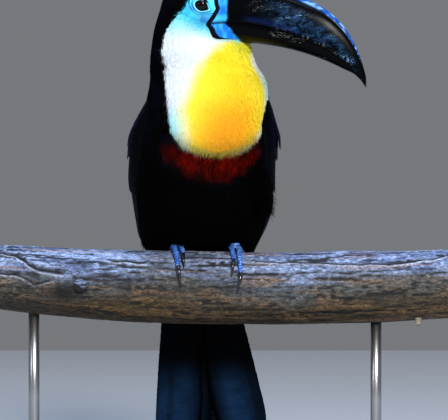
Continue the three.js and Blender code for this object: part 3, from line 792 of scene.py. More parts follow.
# How far the plumage's outer surface lies aside, tabled each mm forward and up for the bird's right and left
# side.
SKULL_LOW, SKULL_HIGH, SKULL_FORWARD = 326, 374, 46
skull_heights = np.arange(SKULL_LOW, SKULL_HIGH + 1)
skull_places = np.interp(skull_heights, BODY[:, 2], np.arange(len(BODY)))[:, None]
skull_sides = []
for sweep_bearings in (np.linspace(-30, 90, 241), np.linspace(210, 90, 241)):
    cheek_forward, cheek_aside = head_frame(outline(skull_places, sweep_bearings[None]))
    steps = np.arange(SKULL_FORWARD + 1)
    skull_sides.append([np.interp(steps, f, np.abs(a), right=0) for f, a in zip(cheek_forward, cheek_aside)])
skull_table = np.array(skull_sides)


def skull_reach(forward, height, left):
    """How far the plumage's outer surface lies aside at a place forward and a height, on one side of the
    head."""
    i = np.clip(height - SKULL_LOW, 0, SKULL_HIGH - SKULL_LOW - 0.001)
    j = np.clip(forward, 0, SKULL_FORWARD - 0.001)
    i0, j0, pick = i.astype(int), j.astype(int), left.astype(int)
    fi, fj = i - i0, j - j0
    low = skull_table[pick, i0, j0] * (1 - fj) + skull_table[pick, i0, j0 + 1] * fj
    high = skull_table[pick, i0 + 1, j0] * (1 - fj) + skull_table[pick, i0 + 1, j0 + 1] * fj
    return low * (1 - fi) + high * fi


def mandible(rows, turns, upper):
    """Points of one mandible and its place in the head's frame. A section's upper outline is a half circle
    with its height raised to 0.8 over a nearly flat cutting edge; the lower mandible is the same, upside
    down."""
    h = np.linspace(0, 1, rows)[:, None] ** 0.9
    row = smooth_rows(BILL, h * (len(BILL) - 1 if upper else LOWER_TIP))
    q, culmen, edge, keel, half = (row[..., k] for k in range(5))
    s, c = np.sin(np.radians(turns)), np.cos(np.radians(turns))
    sharp = np.sign(s) * np.abs(s) ** 0.2
    if upper:
        aside = half * np.where(c > 0, s, sharp)
        height = edge + MOUTH_GAP / 2 + (culmen - edge) * np.clip(c, 0, 1) ** 0.8 + 0.4 * np.clip(c, -1, 0)
    else:
        aside = 0.94 * half * np.where(c < 0, s, sharp)
        height = edge - MOUTH_GAP / 2 - (edge - keel) * np.clip(-c, 0, 1) ** 0.85 - 0.3 * np.clip(c, 0, 1)
    base = np.interp(height, BILL_BASE[:, 0], BILL_BASE[:, 1])
    forward = q + (base - 21.0) * np.clip(1 - (q - 20) / 60, 0, 1) ** 2
    flush = skull_reach(forward, height, aside < 0) + 0.3
    flush = flush * (1 if upper else ease(height, 331.2, 333.5))
    flush = flush * np.minimum(1, np.abs(s) * 2.5) * (forward < 40)
    aside = np.sign(aside) * np.maximum(np.abs(aside), flush)
    return np.broadcast_arrays(q, forward, aside, height, base)


BASE_SKY, BASE_DEEP, BASE_PALE = srgb(56, 174, 236), srgb(24, 108, 204), srgb(104, 196, 250)
HORN_BLACK, RIDGE_SKY_REFLECTION, RIDGE_HIGHLIGHT = srgb(3, 4, 6), srgb(34, 96, 190), srgb(150, 206, 240)
CHIP, LOW_SKY_REFLECTION, OLIVE = srgb(170, 178, 176), srgb(13, 27, 66), srgb(34, 31, 10)
BASE_LINE, MOUTH_LINE = srgb(2, 2, 3), srgb(6, 8, 12)
# The black line's width in mm by height.
LINE_HEIGHTS, LINE_WIDTHS = (344, 352, 360), (2.4, 1.9, 1.6)


def horn_colour(forward, aside, height, base, upper, band):
    """The horn's colour: a black line at the base, then sky blue to a ragged border, then black with pale
    chips on the cutting edge, a painted blue reflection of the sky with painted highlights along the culmen's
    ridge, and a dull blue of painted sky reflection low on the upper mandible's side. band is the share of the
    culmen's ridge. Also the wear: red where the side has scuff marks, whose blue-grey is partly painted
    reflection of the sky, green where it is finely cracked, blue where it is matt."""
    steep = np.gradient(BILL_BASE[:, 1], BILL_BASE[:, 0])
    from_base = (forward - base) / np.sqrt(1 + np.interp(height, BILL_BASE[:, 0], steep) ** 2)
    place = spot(forward, aside, height)
    ragged = value_noise(place / 1.6, 31)
    border = 33.4 + 0.4 * ragged if upper else 33.8 + 0.76 * (343 - height) + 0.9 * ragged
    line_width = np.interp(height, LINE_HEIGHTS, LINE_WIDTHS)
    matt = fade(forward, border - 0.6, border + 0.6)
    tone = value_noise(place / np.array([3.2, 3.2, 6]), 32)
    pale = ease(value_noise(place / np.array([0.9, 0.9, 5]), 33), 0.35, 0.9)
    sky = painted(
        BASE_SKY,
        (BASE_DEEP, ease(tone + 0.5 * (not upper), -0.6, 0.6)),
        (BASE_PALE, pale * (0.6 if upper else 0.3)),
    )
    cut = np.interp(forward, BILL[:, 0], BILL[:, 2])
    top = np.interp(forward, BILL[:, 0], BILL[:, 1])
    share = (height - cut) / (top - cut)
    # Along the ridge, a painted blue reflection of the sky with streaks of painted highlight.
    ridge = band * ease(forward, 56, 84) * (0.7 + 0.3 * value_noise(place / np.array([9, 1.2, 1.2]), 34))
    ridge_highlight_streaks = ease(value_noise(place / np.array([16, 1.2, 1.2]), 35), 0.0, 0.6)
    chips = ease(value_noise(place / np.array([1.3, 2, 0.6]), 38), 0.4, 0.65) * fade(np.abs(share), 0.01, 0.03)
    if upper:
        # Low on the upper mandible's side, a dull blue painted reflection of the sky.
        tint_patch, tint_patch_share = LOW_SKY_REFLECTION, 0.7 * window(forward, 42, 52, 78, 96) * fade(share, 0.06, 0.24)
        limit = np.interp(forward, [60, 85, 122], [0.84, 0.78, 0.52])
        # Scuff marks in blue-grey, partly painted reflection of the sky.
        scuffed_and_sheen = window(forward, 54, 84, 119, 130) * ease(share, -0.03, 0.08) * ease(limit - share, 0.0, 0.26)
        cracked = 0.4 * window(forward, 44, 50, 60, 70) * fade(np.abs(share - 0.45), 0.1, 0.25)
    else:
        tint_patch, tint_patch_share = OLIVE, 0.75 * fade(share, -0.44, -0.3) * fade(forward, 56, 84)
        scuffed_and_sheen = 0.0
        cracked = window(forward, 54, 64, 98, 112) * fade(np.abs(share + 0.22), 0.1, 0.2)
    horn = painted(
        HORN_BLACK,
        (RIDGE_SKY_REFLECTION, 0.9 * ridge),
        (RIDGE_HIGHLIGHT, 0.85 * ridge * ridge_highlight_streaks),
        (CHIP, 0.6 * chips * ease(forward, 62, 84)),
        (tint_patch, tint_patch_share),
        (sky, ease(from_base, line_width - 0.1, line_width + 0.4) * matt),
        (BASE_LINE, fade(from_base, line_width - 0.3, line_width + 0.2)),
        (MOUTH_LINE, 0.9 * fade(np.abs(height - cut), 0.4, 0.8) * fade(forward, 60, 72)),
    )
    return horn, spot(scuffed_and_sheen * (1 - matt), cracked * (1 - matt), matt)


def scuff_group():
    """Node group "scuffs": where Zone is high it lays blotches of one colour and thin winding lines of
    another over its Colour. Blotches are where a noise is high, and lines where a twisted noise crosses its
    middle, in patches. Mask is how worn a point is."""
    group, given, out = new_group(
        "scuffs",
        {
            "Colour": ("Color",),
            "Blotch": ("Color",),
            "Line": ("Color",),
            "Zone": ("Float", 0.0),
            "Cover": ("Float", 0.5),
            "Scale": ("Float", 300.0),
        },
        {"Colour": ("Color",), "Mask": ("Float",)},
    )
    place = add_node(group, "TexCoord")["Object"]
    place = add_node(group, "VectorMath", {0: place, 1: (0.4, 1, 0.8)}, operation="MULTIPLY")[0]
    place = add_node(group, "VectorMath", {0: place, "Scale": given["Scale"]}, operation="SCALE")[0]

    def noise(scale, detail, distortion, roughness=0.5):
        """A noise over the group's place, from 0 to 1."""
        sockets = {"Vector": place, "Scale": scale, "Detail": detail, "Distortion": distortion}
        return add_node(group, "TexNoise", {**sockets, "Roughness": roughness})["Fac"]

    def smooth_range(value, low, high):
        """0 below low, 1 above high and a smooth S-curve between."""
        sockets = {"Value": value, "From Min": low, "From Max": high, "To Min": 0.0, "To Max": 1.0}
        return add_node(group, "MapRange", sockets, interpolation_type="SMOOTHSTEP")[0]

    def laid(under, colour, share):
        """A colour laid over another, where share is 1 for all of it."""
        return add_node(group, "Mix", {"Factor": share, "A": under, "B": colour}, data_type="RGBA")["Result"]

    blotch = calculate(group, "MULTIPLY", smooth_range(noise(0.9, 7, 0.5, 0.72), 0.4, 0.74), given["Cover"])
    blotch = calculate(group, "MULTIPLY", blotch, given["Zone"])
    crossing = calculate(group, "ABSOLUTE", calculate(group, "SUBTRACT", noise(0.62, 2, 2.2), 0.5))
    line = smooth_range(calculate(group, "SUBTRACT", 0.016, crossing), 0.0, 0.013)
    line = calculate(group, "MULTIPLY", line, smooth_range(noise(0.33, 1, 0.0), 0.5, 0.64))
    line = calculate(group, "MULTIPLY", line, given["Zone"])
    blotched = laid(given["Colour"], given["Blotch"], blotch)
    group.links.new(laid(blotched, given["Line"], line), out["Colour"])
    group.links.new(calculate(group, "MAXIMUM", blotch, line), out["Mask"])
    return group


SCUFFS = scuff_group()
# The channel of the wear that each set of scuffs follows, its blotches' and lines' colours, and its cover. The
# first set's blue-grey is partly scuffing and partly painted reflection of the sky.
SCUFF_AND_SHEEN_SETS = (
    ("Red", srgb(40, 72, 108), srgb(140, 186, 228), 1.0),
    ("Green", srgb(16, 14, 11), srgb(120, 122, 116), 0.3),
)
SCUFF_SCALE = 400.0
horn, horn_tree, horn_shader, worn_colour = speckled_material(
    "bill_horn", "shade", 1500, 0.3, (0.35, 1, 1), bump=0.16, depth=0.00012, Specular_IOR_Level=0.04
)
wear = add_node(horn_tree, "Attribute", attribute_name="wear")["Color"]
wear_parts = add_node(horn_tree, "SeparateColor", {0: wear})
for zone, blotch_colour, line_colour, cover in SCUFF_AND_SHEEN_SETS:
    scuffs = {"Colour": worn_colour, "Zone": wear_parts[zone], "Cover": cover, "Scale": SCUFF_SCALE}
    scuffs.update({"Blotch": (*blotch_colour, 1), "Line": (*line_colour, 1)})
    worn_colour = add_node(horn_tree, "Group", scuffs, node_tree=SCUFFS)["Colour"]
horn_tree.links.new(worn_colour, horn_shader.inputs["Base Color"])
matt_horn = add_node(horn_tree, "MapRange", {"To Min": 0.22, "To Max": 0.62, "Value": wear_parts["Blue"]})[0]
horn_tree.links.new(matt_horn, horn_shader.inputs["Roughness"])

bill_turns = np.arange(-178.8, 180, 2.4)[None, :]
for upper in (True, False):
    q, forward, aside, height, base = mandible(240, bill_turns, upper)
    clear = ease(forward, 34, 44)
    band = np.zeros_like(forward)
    if upper:
        away = np.abs(bill_turns)
        groove = bell(away, 33, 3.4) * clear
        band = fade(away, 25, 31) * clear * fade(q, 124, 131)
        aside = aside * (1 - 0.045 * groove)
        height = height - 0.55 * groove + 0.3 * band
        tooth = (q / 4.6 + 0.35 * np.sin(q / 7)) % 1.0
        height = height - 0.5 * tooth * bell(away, 90, 5) * window(q, 40, 48, 118, 128)
    ripple = value_noise(spot(q / 15, aside / 5, height / 2.6), 39)
    aside = aside * (1 + 0.005 * ripple * clear)
    colour, worn = (c[:, ::-1] for c in horn_colour(forward, aside, height, base, upper, band))
    points, faces = closed_tubes(head_point(forward, aside, height)[:, ::-1])
    part = "upper" if upper else "lower"
    sheath = add_mesh(f"bill_sheath_{part}", points, faces, horn, per_point(colour), wear=per_point(worn))
    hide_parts(f"bill_{part}")

# ---------------------------------------------------------------- the eyes
# Each eye is a wet ball with a clear bulging cornea. The iris is a very dark brown, hardly lighter than the
# pupil. It sits in the skin's socket, and the lids close over all but its middle.
GAZE_FORWARD = 0.2
CORNEA_BULGE = 0.35
IRIS_BROWN, IRIS_RIM, PUPIL, EYEBALL = srgb(9, 5, 3), srgb(4, 3, 2), srgb(2, 2, 3), srgb(4, 4, 5)
eye_material, *_ = speckled_material(
    "wet_eye", "shade", 3000, 0.5, bump=0.0, Roughness=0.06, Specular_IOR_Level=0.1, Coat_Weight=0.22,
    Coat_Roughness=0.02,
)
polar = np.radians(np.linspace(0.5, 179.5, 60))[:, None]
polar, turn = np.broadcast_arrays(polar, np.radians(np.arange(0, 360, 7.5)))
spokes = value_noise(spot(np.cos(turn) * 9, np.sin(turn) * 9, polar * 3), 41)
iris = blend(IRIS_BROWN, IRIS_RIM, ease(polar + 0.12 * spokes, 0.3, 0.72))
iris = painted(blend(PUPIL, iris, ease(polar, 0.27, 0.33)), (EYEBALL, ease(polar, 0.62, 0.72)))
for eye_name, eye_side in (("right", 1), ("left", -1)):
    gaze = head_point(GAZE_FORWARD, eye_side, 0.0) - head_point(0.0, 0.0, 0.0)
    gaze = gaze / np.linalg.norm(gaze)
    sideways = np.cross((0, 0, 1), gaze)
    sideways = sideways / np.linalg.norm(sideways)
    round_gaze = np.cos(turn)[..., None] * sideways + np.sin(turn)[..., None] * np.cross(gaze, sideways)
    reach = EYE["radius"] - CORNEA_BULGE + CORNEA_BULGE * np.exp(-((polar / 0.55) ** 4))
    ball = reach[..., None] * (np.cos(polar)[..., None] * gaze + np.sin(polar)[..., None] * round_gaze)
    ball = ball + head_point(EYE["forward"], eye_side * EYE["aside"], EYE["height"])
    eye = add_mesh(f"wet_eye_{eye_name}", *closed_tubes(ball), eye_material, per_point(iris))
    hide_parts(f"eye_{eye_name}")

# ---------------------------------------------------------------- the feet
# Short shanks and four toes to a foot, two forward and two back round the branch, all in slate-blue scales:
# broad overlapping shields along the top and small pads below. Each is rooted in the belly's plumage. Toes: x
# at root and end, girths round the branch in degrees at root and end, and radius.
TOES = {
    "left": [
        (24.8, 26.4, 4, 66, 2.15),
        (19.8, 21.4, 5, 45, 1.95),
        (24.8, 31, -5, -62, 2.1),
        (19.8, 15, -5, -38, 1.9),
    ],
    "right": [
        (-23, -19.4, 4, 58, 2.15),
        (-17.8, -15.9, 5, 36, 1.95),
        (-23.2, -30, -5, -62, 2.1),
        (-18, -13.4, -5, -38, 1.9),
    ],
}
SHANK_X = {"left": 21.8, "right": -20.8}
SHANK_LENGTH = 25
TOE_NAMES = ("third", "second", "fourth", "first")
SCUTE = 2.3
TOE_ROWS = 70
FOOT_BLUE, FOOT_HIGHLIGHT, FOOT_SEAM = srgb(24, 84, 190), srgb(160, 208, 245), srgb(3, 8, 22)

foot_scales, *_ = speckled_material(
    "foot_scales", "shade", 2400, 0.35, bump=0.3, depth=0.0001, Roughness=0.4, Coat_Weight=0.15
)


def scaled_tube(path, radius, length, upward):
    """Rings round a path of points, and their colours. Shields step up along the top, one every SCUTE mm."""
    along = np.gradient(path, axis=0)
    along = along / np.linalg.norm(along, axis=1, keepdims=True)
    across = np.cross(along, upward)
    across = across / np.linalg.norm(across, axis=1, keepdims=True)
    over = np.cross(across, along)
    turn = np.radians(np.arange(0, 360, 15))[None, :]
    s, c = np.sin(turn), np.cos(turn)
    walk = np.linspace(0, length, len(path))[:, None]
    on_top = ease(c, 0.0, 0.5)
    shield = (walk / SCUTE + 0.12 * c) % 1.0
    pads = np.sin(walk * 5.2 + 2 * np.sin(2 * turn)) * np.sin(turn * 6)
    r = radius[:, None] * (1 + on_top * (0.11 * (1 - shield) ** 0.6 - 0.03) + (1 - on_top) * 0.05 * pads)
    rings = path[:, None] + r[..., None] * (s[..., None] * across[:, None] + c[..., None] * over[:, None])
    seam = on_top * ease(np.abs(shield - 0.5), 0.34, 0.46) + (1 - on_top) * 0.5 * ease(-pads, 0.3, 0.9)
    patchy = value_noise(spot((walk + 7 * length) / 1.7, 2 * s, 2 * c), 43)
    # A painted highlight on the rise of each shield.
    pale = on_top * fade(np.abs(shield - 0.3), 0.04, 0.26) * (0.12 + 0.88 * ease(patchy, -0.3, 0.4))
    return rings, painted(FOOT_BLUE, (FOOT_HIGHLIGHT, pale), (FOOT_SEAM, 0.9 * seam))


for foot_side in ("left", "right"):
    parts = []
    share = np.linspace(0, 1, TOE_ROWS)
    for root_x, end_x, root_girth, end_girth, thick in TOES[foot_side]:
        length = math.radians(abs(end_girth - root_girth)) * 29 + thick
        radius = thick * (1 - 0.28 * share) * (1 + 0.1 * np.cos(4 * math.pi * share))
        radius = radius * np.sqrt(1 - np.clip(share - 0.93, 0, 0.07) ** 2 / 0.0055)
        x = root_x + (end_x - root_x) * share
        girth = root_girth + (end_girth - root_girth) * share
        normal = branch_point(x, girth, thick + 5) - branch_point(x, girth, thick)
        parts.append(scaled_tube(branch_point(x, girth, thick * 1.12 + 0.1), radius, length, normal))
    foot_at = branch_point(SHANK_X[foot_side], -1, 2.2)
    shank = foot_at + share[:, None] * np.array([0, 6.0, SHANK_LENGTH])
    shank_radius = 3.2 + 1.2 * bell(share, 0, 0.16) + 0.7 * share
    parts.append(scaled_tube(shank, shank_radius, SHANK_LENGTH, np.tile([0, -1.0, 0.2], (TOE_ROWS, 1))))
    foot_rings, foot_tints = (np.array(part) for part in zip(*parts))
    foot = add_mesh(f"scaled_foot_{foot_side}", *closed_tubes(foot_rings), foot_scales, per_point(foot_tints))
    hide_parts(f"leg_{foot_side}", *[f"toe_{foot_side}_{toe}" for toe in TOE_NAMES])

# ---------------------------------------------------------------- the claws
# Curved black claws of glossy horn, thickest at the base and flat along the underside, one at each toe's end.
# Claws: length of each toe's claw and the x its point reaches.
CLAWS = {
    "left": [(14, 23.4), (12, 19.6), (12, 33), (10, 14)],
    "right": [(14, -17.2), (11, -15.3), (12, -32), (10, -12.4)],
}
CLAW_BLACK = (0.012, 0.012, 0.016)
claw_material, *_ = speckled_material(
    "claw_horn", CLAW_BLACK, 2500, 0.6, (1, 1, 0.3), bump=0.1, depth=0.0001, Roughness=0.16, Coat_Weight=0.5
)
claw_turn = np.radians(np.arange(0, 360, 15))[None, :]
claw_share = np.linspace(0, 1, 40)[:, None]
claw_flat = np.where(np.cos(claw_turn) < 0, 0.75, 1.3)
for foot_side in ("left", "right"):
    for toe, (claw_length, claw_x), toe_name in zip(TOES[foot_side], CLAWS[foot_side], TOE_NAMES):
        end_x, end_girth, thick = toe[1], toe[3], toe[4]
        way = math.copysign(1, end_girth)
        girth = end_girth - way * 1.5 + way * math.degrees(claw_length / 27) * claw_share
        r = thick * (0.62 * (1 - claw_share) ** 0.8) + 0.32
        r = r * np.sqrt(1 - np.clip(claw_share - 0.97, 0, 0.03) ** 2 / 0.00095)
        lift = thick * 1.25 + (1.3 - thick * 1.25) * claw_share**1.6 + 0.3
        lift = lift + 1.4 * np.sin(math.pi * np.minimum(1, 1.1 * claw_share))
        x = end_x + (claw_x - end_x) * claw_share**1.5
        rings = branch_point(x - way * r * np.sin(claw_turn), girth, lift + r * claw_flat * np.cos(claw_turn))
        claw = add_mesh(f"curved_claw_{foot_side}_{toe_name}", *closed_tubes(rings), claw_material)
        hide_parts(f"claw_{foot_side}_{toe_name}")

# ---------------------------------------------------------------- the body's plumage
# Thousands of small contour feathers, each a tuft of fine barbs rooted in the skin, lie like tiles: back from
# the bill and eyes on the head, and down the body below it. They are shortest round the bare face, sleek on
# the bib and mantle, and looser on the belly and under the tail, where they hide the thighs.
LIE_BACK = np.array([-math.sin(HEAD_BEARING), math.cos(HEAD_BEARING), -0.15])
PATCH = 0.003
TOP_LIMIT = 378.8
# A barb's five points: how far along it each is, and which side of its middle.
BARB_SHARE = np.array([0, 0, 0.52, 0.52, 1.0])
BARB_SIGN = np.array([-1, 1, -1, 1, 0])
BARB_WIDTH = np.array([0.9, 0.9, 1, 1, 0])
# Feather lengths in mm by height: short by the bare face and longer on the breast; long on the belly and rump
# and short on the crown; and the loose flank's.
FACE_LENGTH = ([248, 300, 325, 343, 352, 366, 379], [10, 9.5, 7.5, 4.6, 3.6, 4.2, 4.6])
BODY_LENGTH = ([121, 160, 205, 260, 320, 345, 370, 379], [12, 15, 15, 13, 10, 6.5, 5.4, 7.5])
FLANK_LENGTH = ([212, 226, 242], [12, 16, 10])


def unit(vectors):
    """The vectors scaled to a length of one."""
    return vectors / np.maximum(np.linalg.norm(vectors, axis=-1, keepdims=True), 1e-9)


def dot(a, b):
    """The scalar product along the last axis, kept as an axis."""
    return np.sum(a * b, axis=-1, keepdims=True)


def tuft_roots(rng, tries, heights, bearings, loose):
    """Roots spread evenly by area over a range of heights and bearings: their places, bearings and points,
    the lie and outward directions there, and how the surface runs for a step of place and a degree of
    bearing."""
    i = np.arange(tries)
    low, high = np.interp(heights, BODY[:, 2], np.arange(len(BODY)))
    place = low + (high - low) * ((0.5 + i * 0.7548776662) % 1.0)
    bearing = bearings[0] + (bearings[1] - bearings[0]) * ((0.5 + i * 0.5698402910) % 1.0)
    up = (outline(place + 0.01, bearing) - outline(place, bearing)) / 0.01
    along = (outline(place, bearing + 0.5) - outline(place, bearing)) / 0.5
    area = np.linalg.norm(np.cross(up, along), axis=-1)
    chosen = rng.random(tries) < area / area.max()
    place, bearing, up, along = (v[chosen] for v in (place, bearing, up, along))
    root = outline(place, bearing)
    out = unit(np.cross(along, up))
    back = ease(root[:, 2], 322, 358)[:, None] * 0.85
    lie = unit(-up) * (1 - back) + back * LIE_BACK
    stray = rng.normal(0, 1, len(place))[:, None]
    lie = unit(lie - dot(lie, out) * out)
    lie = unit(lie + np.cross(out, lie) * stray * loose)
    return place, bearing, root, lie, out, up, along


def clear_of_branch(points):
    """The points, with those that would lie inside the branch moved straight out from its axis to rest on
    it."""
    row = smooth_rows(BRANCH, np.interp(points[..., 0], BRANCH[:, 0], np.arange(len(BRANCH))))
    y, z = points[..., 1], points[..., 2] - row[..., 1]
    reach, bark = np.hypot(y, z), row[..., 2] + 0.8
    out = np.where(reach < bark, bark - 0.1 * (bark - reach), reach) / np.maximum(reach, 1)
    return spot(points[..., 0], y * out, row[..., 1] + z * out)


def tufts(
    name, seed, count, heights, bearings, wanted, lengths, strands, material,
    wide=0.2, loose=0.1, stand=0.0, barb=0.5, root_shade=0.45, tone=0.07, streak=0.07,
):
    """One coat piece of up to count tufts, kept where wanted(height, bearing, bib, bare) is true at the tip.
    Barbs fan out from each root in the lie's direction: a barb is a ribbon of two steps and a point, which
    climbs from the skin to the plumage's surface and then follows its bend. wide is a tuft's half-width as a
    share of its length, loose how far barbs stray, stand how far tips rise, barb a barb's width, root_shade
    how far the barbs' roots are darkened as painted shade deep in the coat, and tone and streak how the colour
    varies from tuft to tuft and from barb to barb."""
    rng = np.random.default_rng(seed)
    place, bearing, root, lie, out, up, along = tuft_roots(rng, count * 9, heights, bearings, loose)
    side = np.cross(out, lie)
    grown = np.interp(root[:, 2], *lengths) * rng.uniform(0.85, 1.12, len(place))
    # The lie as steps of place and bearing to the mm, solved from its products with the surface's two
    # directions.
    up_up, up_along, along_along = dot(up, up), dot(up, along), dot(along, along)
    lie_up, lie_along = dot(lie, up), dot(lie, along)
    spread = up_up * along_along - up_along**2
    step_place = ((lie_up * along_along - lie_along * up_along) / spread)[:, 0]
    step_bearing = ((lie_along * up_up - lie_up * up_along) / spread)[:, 0]
    tip_bearing = bearing + np.clip(step_bearing * grown * 0.8, -40, 40)
    tip = outline(np.clip(place + step_place * grown * 0.8, 0, BODY_TOP - 0.1), tip_bearing)
    colour, bib, bare = markings(tip, tip_bearing)
    horn_from = np.interp(tip[:, 2], BILL_BASE[:, 0], BILL_BASE[:, 1]) - 0.6
    on_bill = (horn_from < head_frame(tip)[0]) & (tip[:, 2] > 331)
    keep = wanted(tip[:, 2], (tip_bearing + 90) % 360 - 90, bib, bare) & ~on_bill & (place < BODY_TOP - 0.08)
    picked = np.flatnonzero(keep)[:count]
    place, bearing, root, lie, side, out, grown, colour, step_place, step_bearing = (
        v[picked] for v in (place, bearing, root, lie, side, out, grown, colour, step_place, step_bearing)
    )
    h = 4.0
    ahead = outline(np.clip(place + step_place * h, 0, BODY_TOP), bearing + step_bearing * h)
    behind = outline(np.clip(place - step_place * h, 0, BODY_TOP), bearing - step_bearing * h)
    bend = np.clip(dot(ahead + behind - 2 * root, out) / h**2, -0.1, 0.02)
    swing = np.degrees(h / np.maximum(np.linalg.norm(root[:, :2] - [-4, -3], axis=1), 6))
    beside = outline(place, bearing + swing) + outline(place, bearing - swing) - 2 * root
    bend_side = np.clip(dot(beside, out) / h**2, -0.1, 0.0)

    number = len(picked)
    each = (number, strands)
    across = np.linspace(-1, 1, strands)[None] + rng.normal(0, 0.16, each)
    reach = grown[:, None] * (1 - 0.22 * across**2) * rng.uniform(0.86, 1.06, each)
    lift_tip = rng.normal(0, 0.12, each) - 0.28 + stand * rng.random((number, 1))
    deep = (np.interp(root[:, 2], COAT_HEIGHTS, COAT_DEPTHS) * np.clip(grown / 9, 0.2, 1))[:, None, None]
    half = BARB_SIGN * barb * BARB_WIDTH / 2
    x = reach[..., None] * BARB_SHARE
    y = (across * wide * grown[:, None])[..., None] * (0.3 + 0.7 * BARB_SHARE) + half
    y = y + (rng.normal(0, loose, each) * reach)[..., None] * BARB_SHARE**2
    roll = rng.normal(0, 0.35, each)[..., None] * half
    lift = -deep * (1 - BARB_SHARE) ** 2.6 + lift_tip[..., None] * BARB_SHARE + roll
    lift = lift + 0.5 * bend[..., None] * x**2 + 0.5 * bend_side[..., None] * y**2
    root, lie, side, out = (v[:, None, None] for v in (root, lie, side, out))
    points = root + x[..., None] * lie + y[..., None] * side + lift[..., None] * out
    points[..., 2] = np.minimum(points[..., 2], TOP_LIMIT)
    points = clear_of_branch(points)

    tones = rng.normal(1, tone, (number, 1, 1, 1))
    tones = np.clip(tones * rng.normal(1, streak, (*each, 1, 1)), 0, 3)
    # The barbs darken towards their roots: painted shade deep in the coat.
    shade = colour[:, None, None] * tones * (1 - root_shade * (1 - BARB_SHARE) ** 1.5)[:, None]
    patch_u = ((bearing - bearings[0]) / (bearings[1] - bearings[0]))[:, None, None]
    patch_v = (root[..., 2] - heights[0]) / (heights[1] - heights[0])
    uv = spot(
        patch_u + PATCH * (0.4 * across[..., None] + 0.1 * BARB_SIGN), patch_v + PATCH * (BARB_SHARE - 0.5)
    )
    first = (np.arange(number * strands) * 5)[:, None]
    coat = add_mesh(
        name, points.reshape(-1, 3), [first + np.array([0, 2, 3, 1]), first + np.array([2, 4, 3])], material,
        np.clip(shade, 0, 1).reshape(-1, 3), {"OFBake": np.clip(uv.reshape(-1, 2), 0.001, 0.999)},
    )


bright_feather, *_ = speckled_material(
    "bright_feather", "shade", 1800, 0.1, bump=0.1, depth=0.0001, Roughness=0.75, Specular_IOR_Level=0.1
)
black_feather, *_ = speckled_material(
    "black_feather", "shade", 1800, 0.35, bump=0.1, depth=0.0001, Roughness=0.6, Specular_IOR_Level=0.015
)
tufts(
    "coat_bib", 51, 12600, (246, 366), (-62, 216), lambda z, b, bib, bare: (bib > 0.5) & (bare < 0.45),
    FACE_LENGTH, 5, bright_feather, wide=0.17, loose=0.05, barb=0.55, root_shade=0.2, tone=0.03,
)
tufts(
    "coat_crown", 52, 9500, (303, 379), (90, 450), lambda z, b, bib, bare: (bib < 0.5) & (z > 302),
    BODY_LENGTH, 6, black_feather, wide=0.17, loose=0.1, barb=0.5,
)
tufts(
    "coat_band", 53, 6500, (218, 270), (-60, 92), lambda z, b, bib, bare: (bib < 0.5) & (z > 224) & (z < 268),
    BODY_LENGTH, 7, black_feather, wide=0.18, loose=0.12, barb=0.45, tone=0.2, streak=0.5, root_shade=0.8,
)
tufts(
    "coat_belly", 54, 8200, (124, 310), (-98, 108),
    lambda z, b, bib, bare: (bib < 0.5) & ((z < 224) | (z > 268) | (np.abs(b - 10) > 52)),
    BODY_LENGTH, 7, black_feather, wide=0.2, loose=0.16, barb=0.55,
)
tufts(
    "coat_mantle", 55, 6500, (196, 306), (100, 262), lambda z, b, bib, bare: bib < 0.5,
    BODY_LENGTH, 7, black_feather, wide=0.2, loose=0.1, barb=0.6,
)
tufts(
    "coat_rump", 56, 6000, (121, 206), (70, 290), lambda z, b, bib, bare: z > 110,
    BODY_LENGTH, 7, black_feather, wide=0.2, loose=0.16, barb=0.6, tone=0.15,
)
tufts(
    "coat_flank", 57, 210, (212, 242), (58, 84), lambda z, b, bib, bare: z > 190,
    FLANK_LENGTH, 9, black_feather, wide=0.26, loose=0.4, barb=0.34, stand=8.5,
)

# ---------------------------------------------------------------- the wings
# Each folded wing lies on the flank. From the shoulder down it shows scapulars, rows of lesser, median and
# greater coverts, then tertials and secondaries, and at the tip the primaries. A vane is a thin closed sheet
# with a raised shaft and a slightly frayed margin; the barbs show as slanting lines. The wing's front and
# back edge at seven equal steps from shoulder to tip, as bearings in degrees.
WING_FRONT = np.array([62, 64, 71, 84, 100, 118, 138.0])[:, None]
WING_BACK = np.array([132, 146, 155, 161, 166, 170, 174.0])[:, None]
WING_PLACES = (11.5, 0.6)
VANE_ROWS = 22
# Across a vane's section: its upper face from edge to edge, then its lower face back.
VANE_ACROSS = np.array([-1, -0.82, -0.5, -0.2, -0.06, 0.06, 0.2, 0.5, 0.82, 1, 0.75, 0.3, -0.3, -0.75])
VANE_UPPER = np.array([0, 1, 1, 1, 1, 1, 1, 1, 1, 0, -1, -1, -1, -1])


def wing_point(side, down, across, lift):
    """A point over the flank: down from shoulder (0) to tip (1), and across from the back edge to the front
    one."""
    down, across, lift = np.broadcast_arrays(down, across, lift)
    front = smooth_rows(WING_FRONT, np.clip(down, 0, 1) * 6)[..., 0]
    rear = smooth_rows(WING_BACK, np.clip(down, 0, 1) * 6)[..., 0]
    place = WING_PLACES[0] + (WING_PLACES[1] - WING_PLACES[0]) * down
    return outline(place, side * (rear + (front - rear) * across), lift)


def wing_swell(down, across):
    """How the folded feathers swell between the wing's edges: a sine to the power 0.6, from nothing at the
    top."""
    return np.sin(math.pi * np.clip(across, 0, 1)) ** 0.6 * np.clip(6 * down, 0, 1)


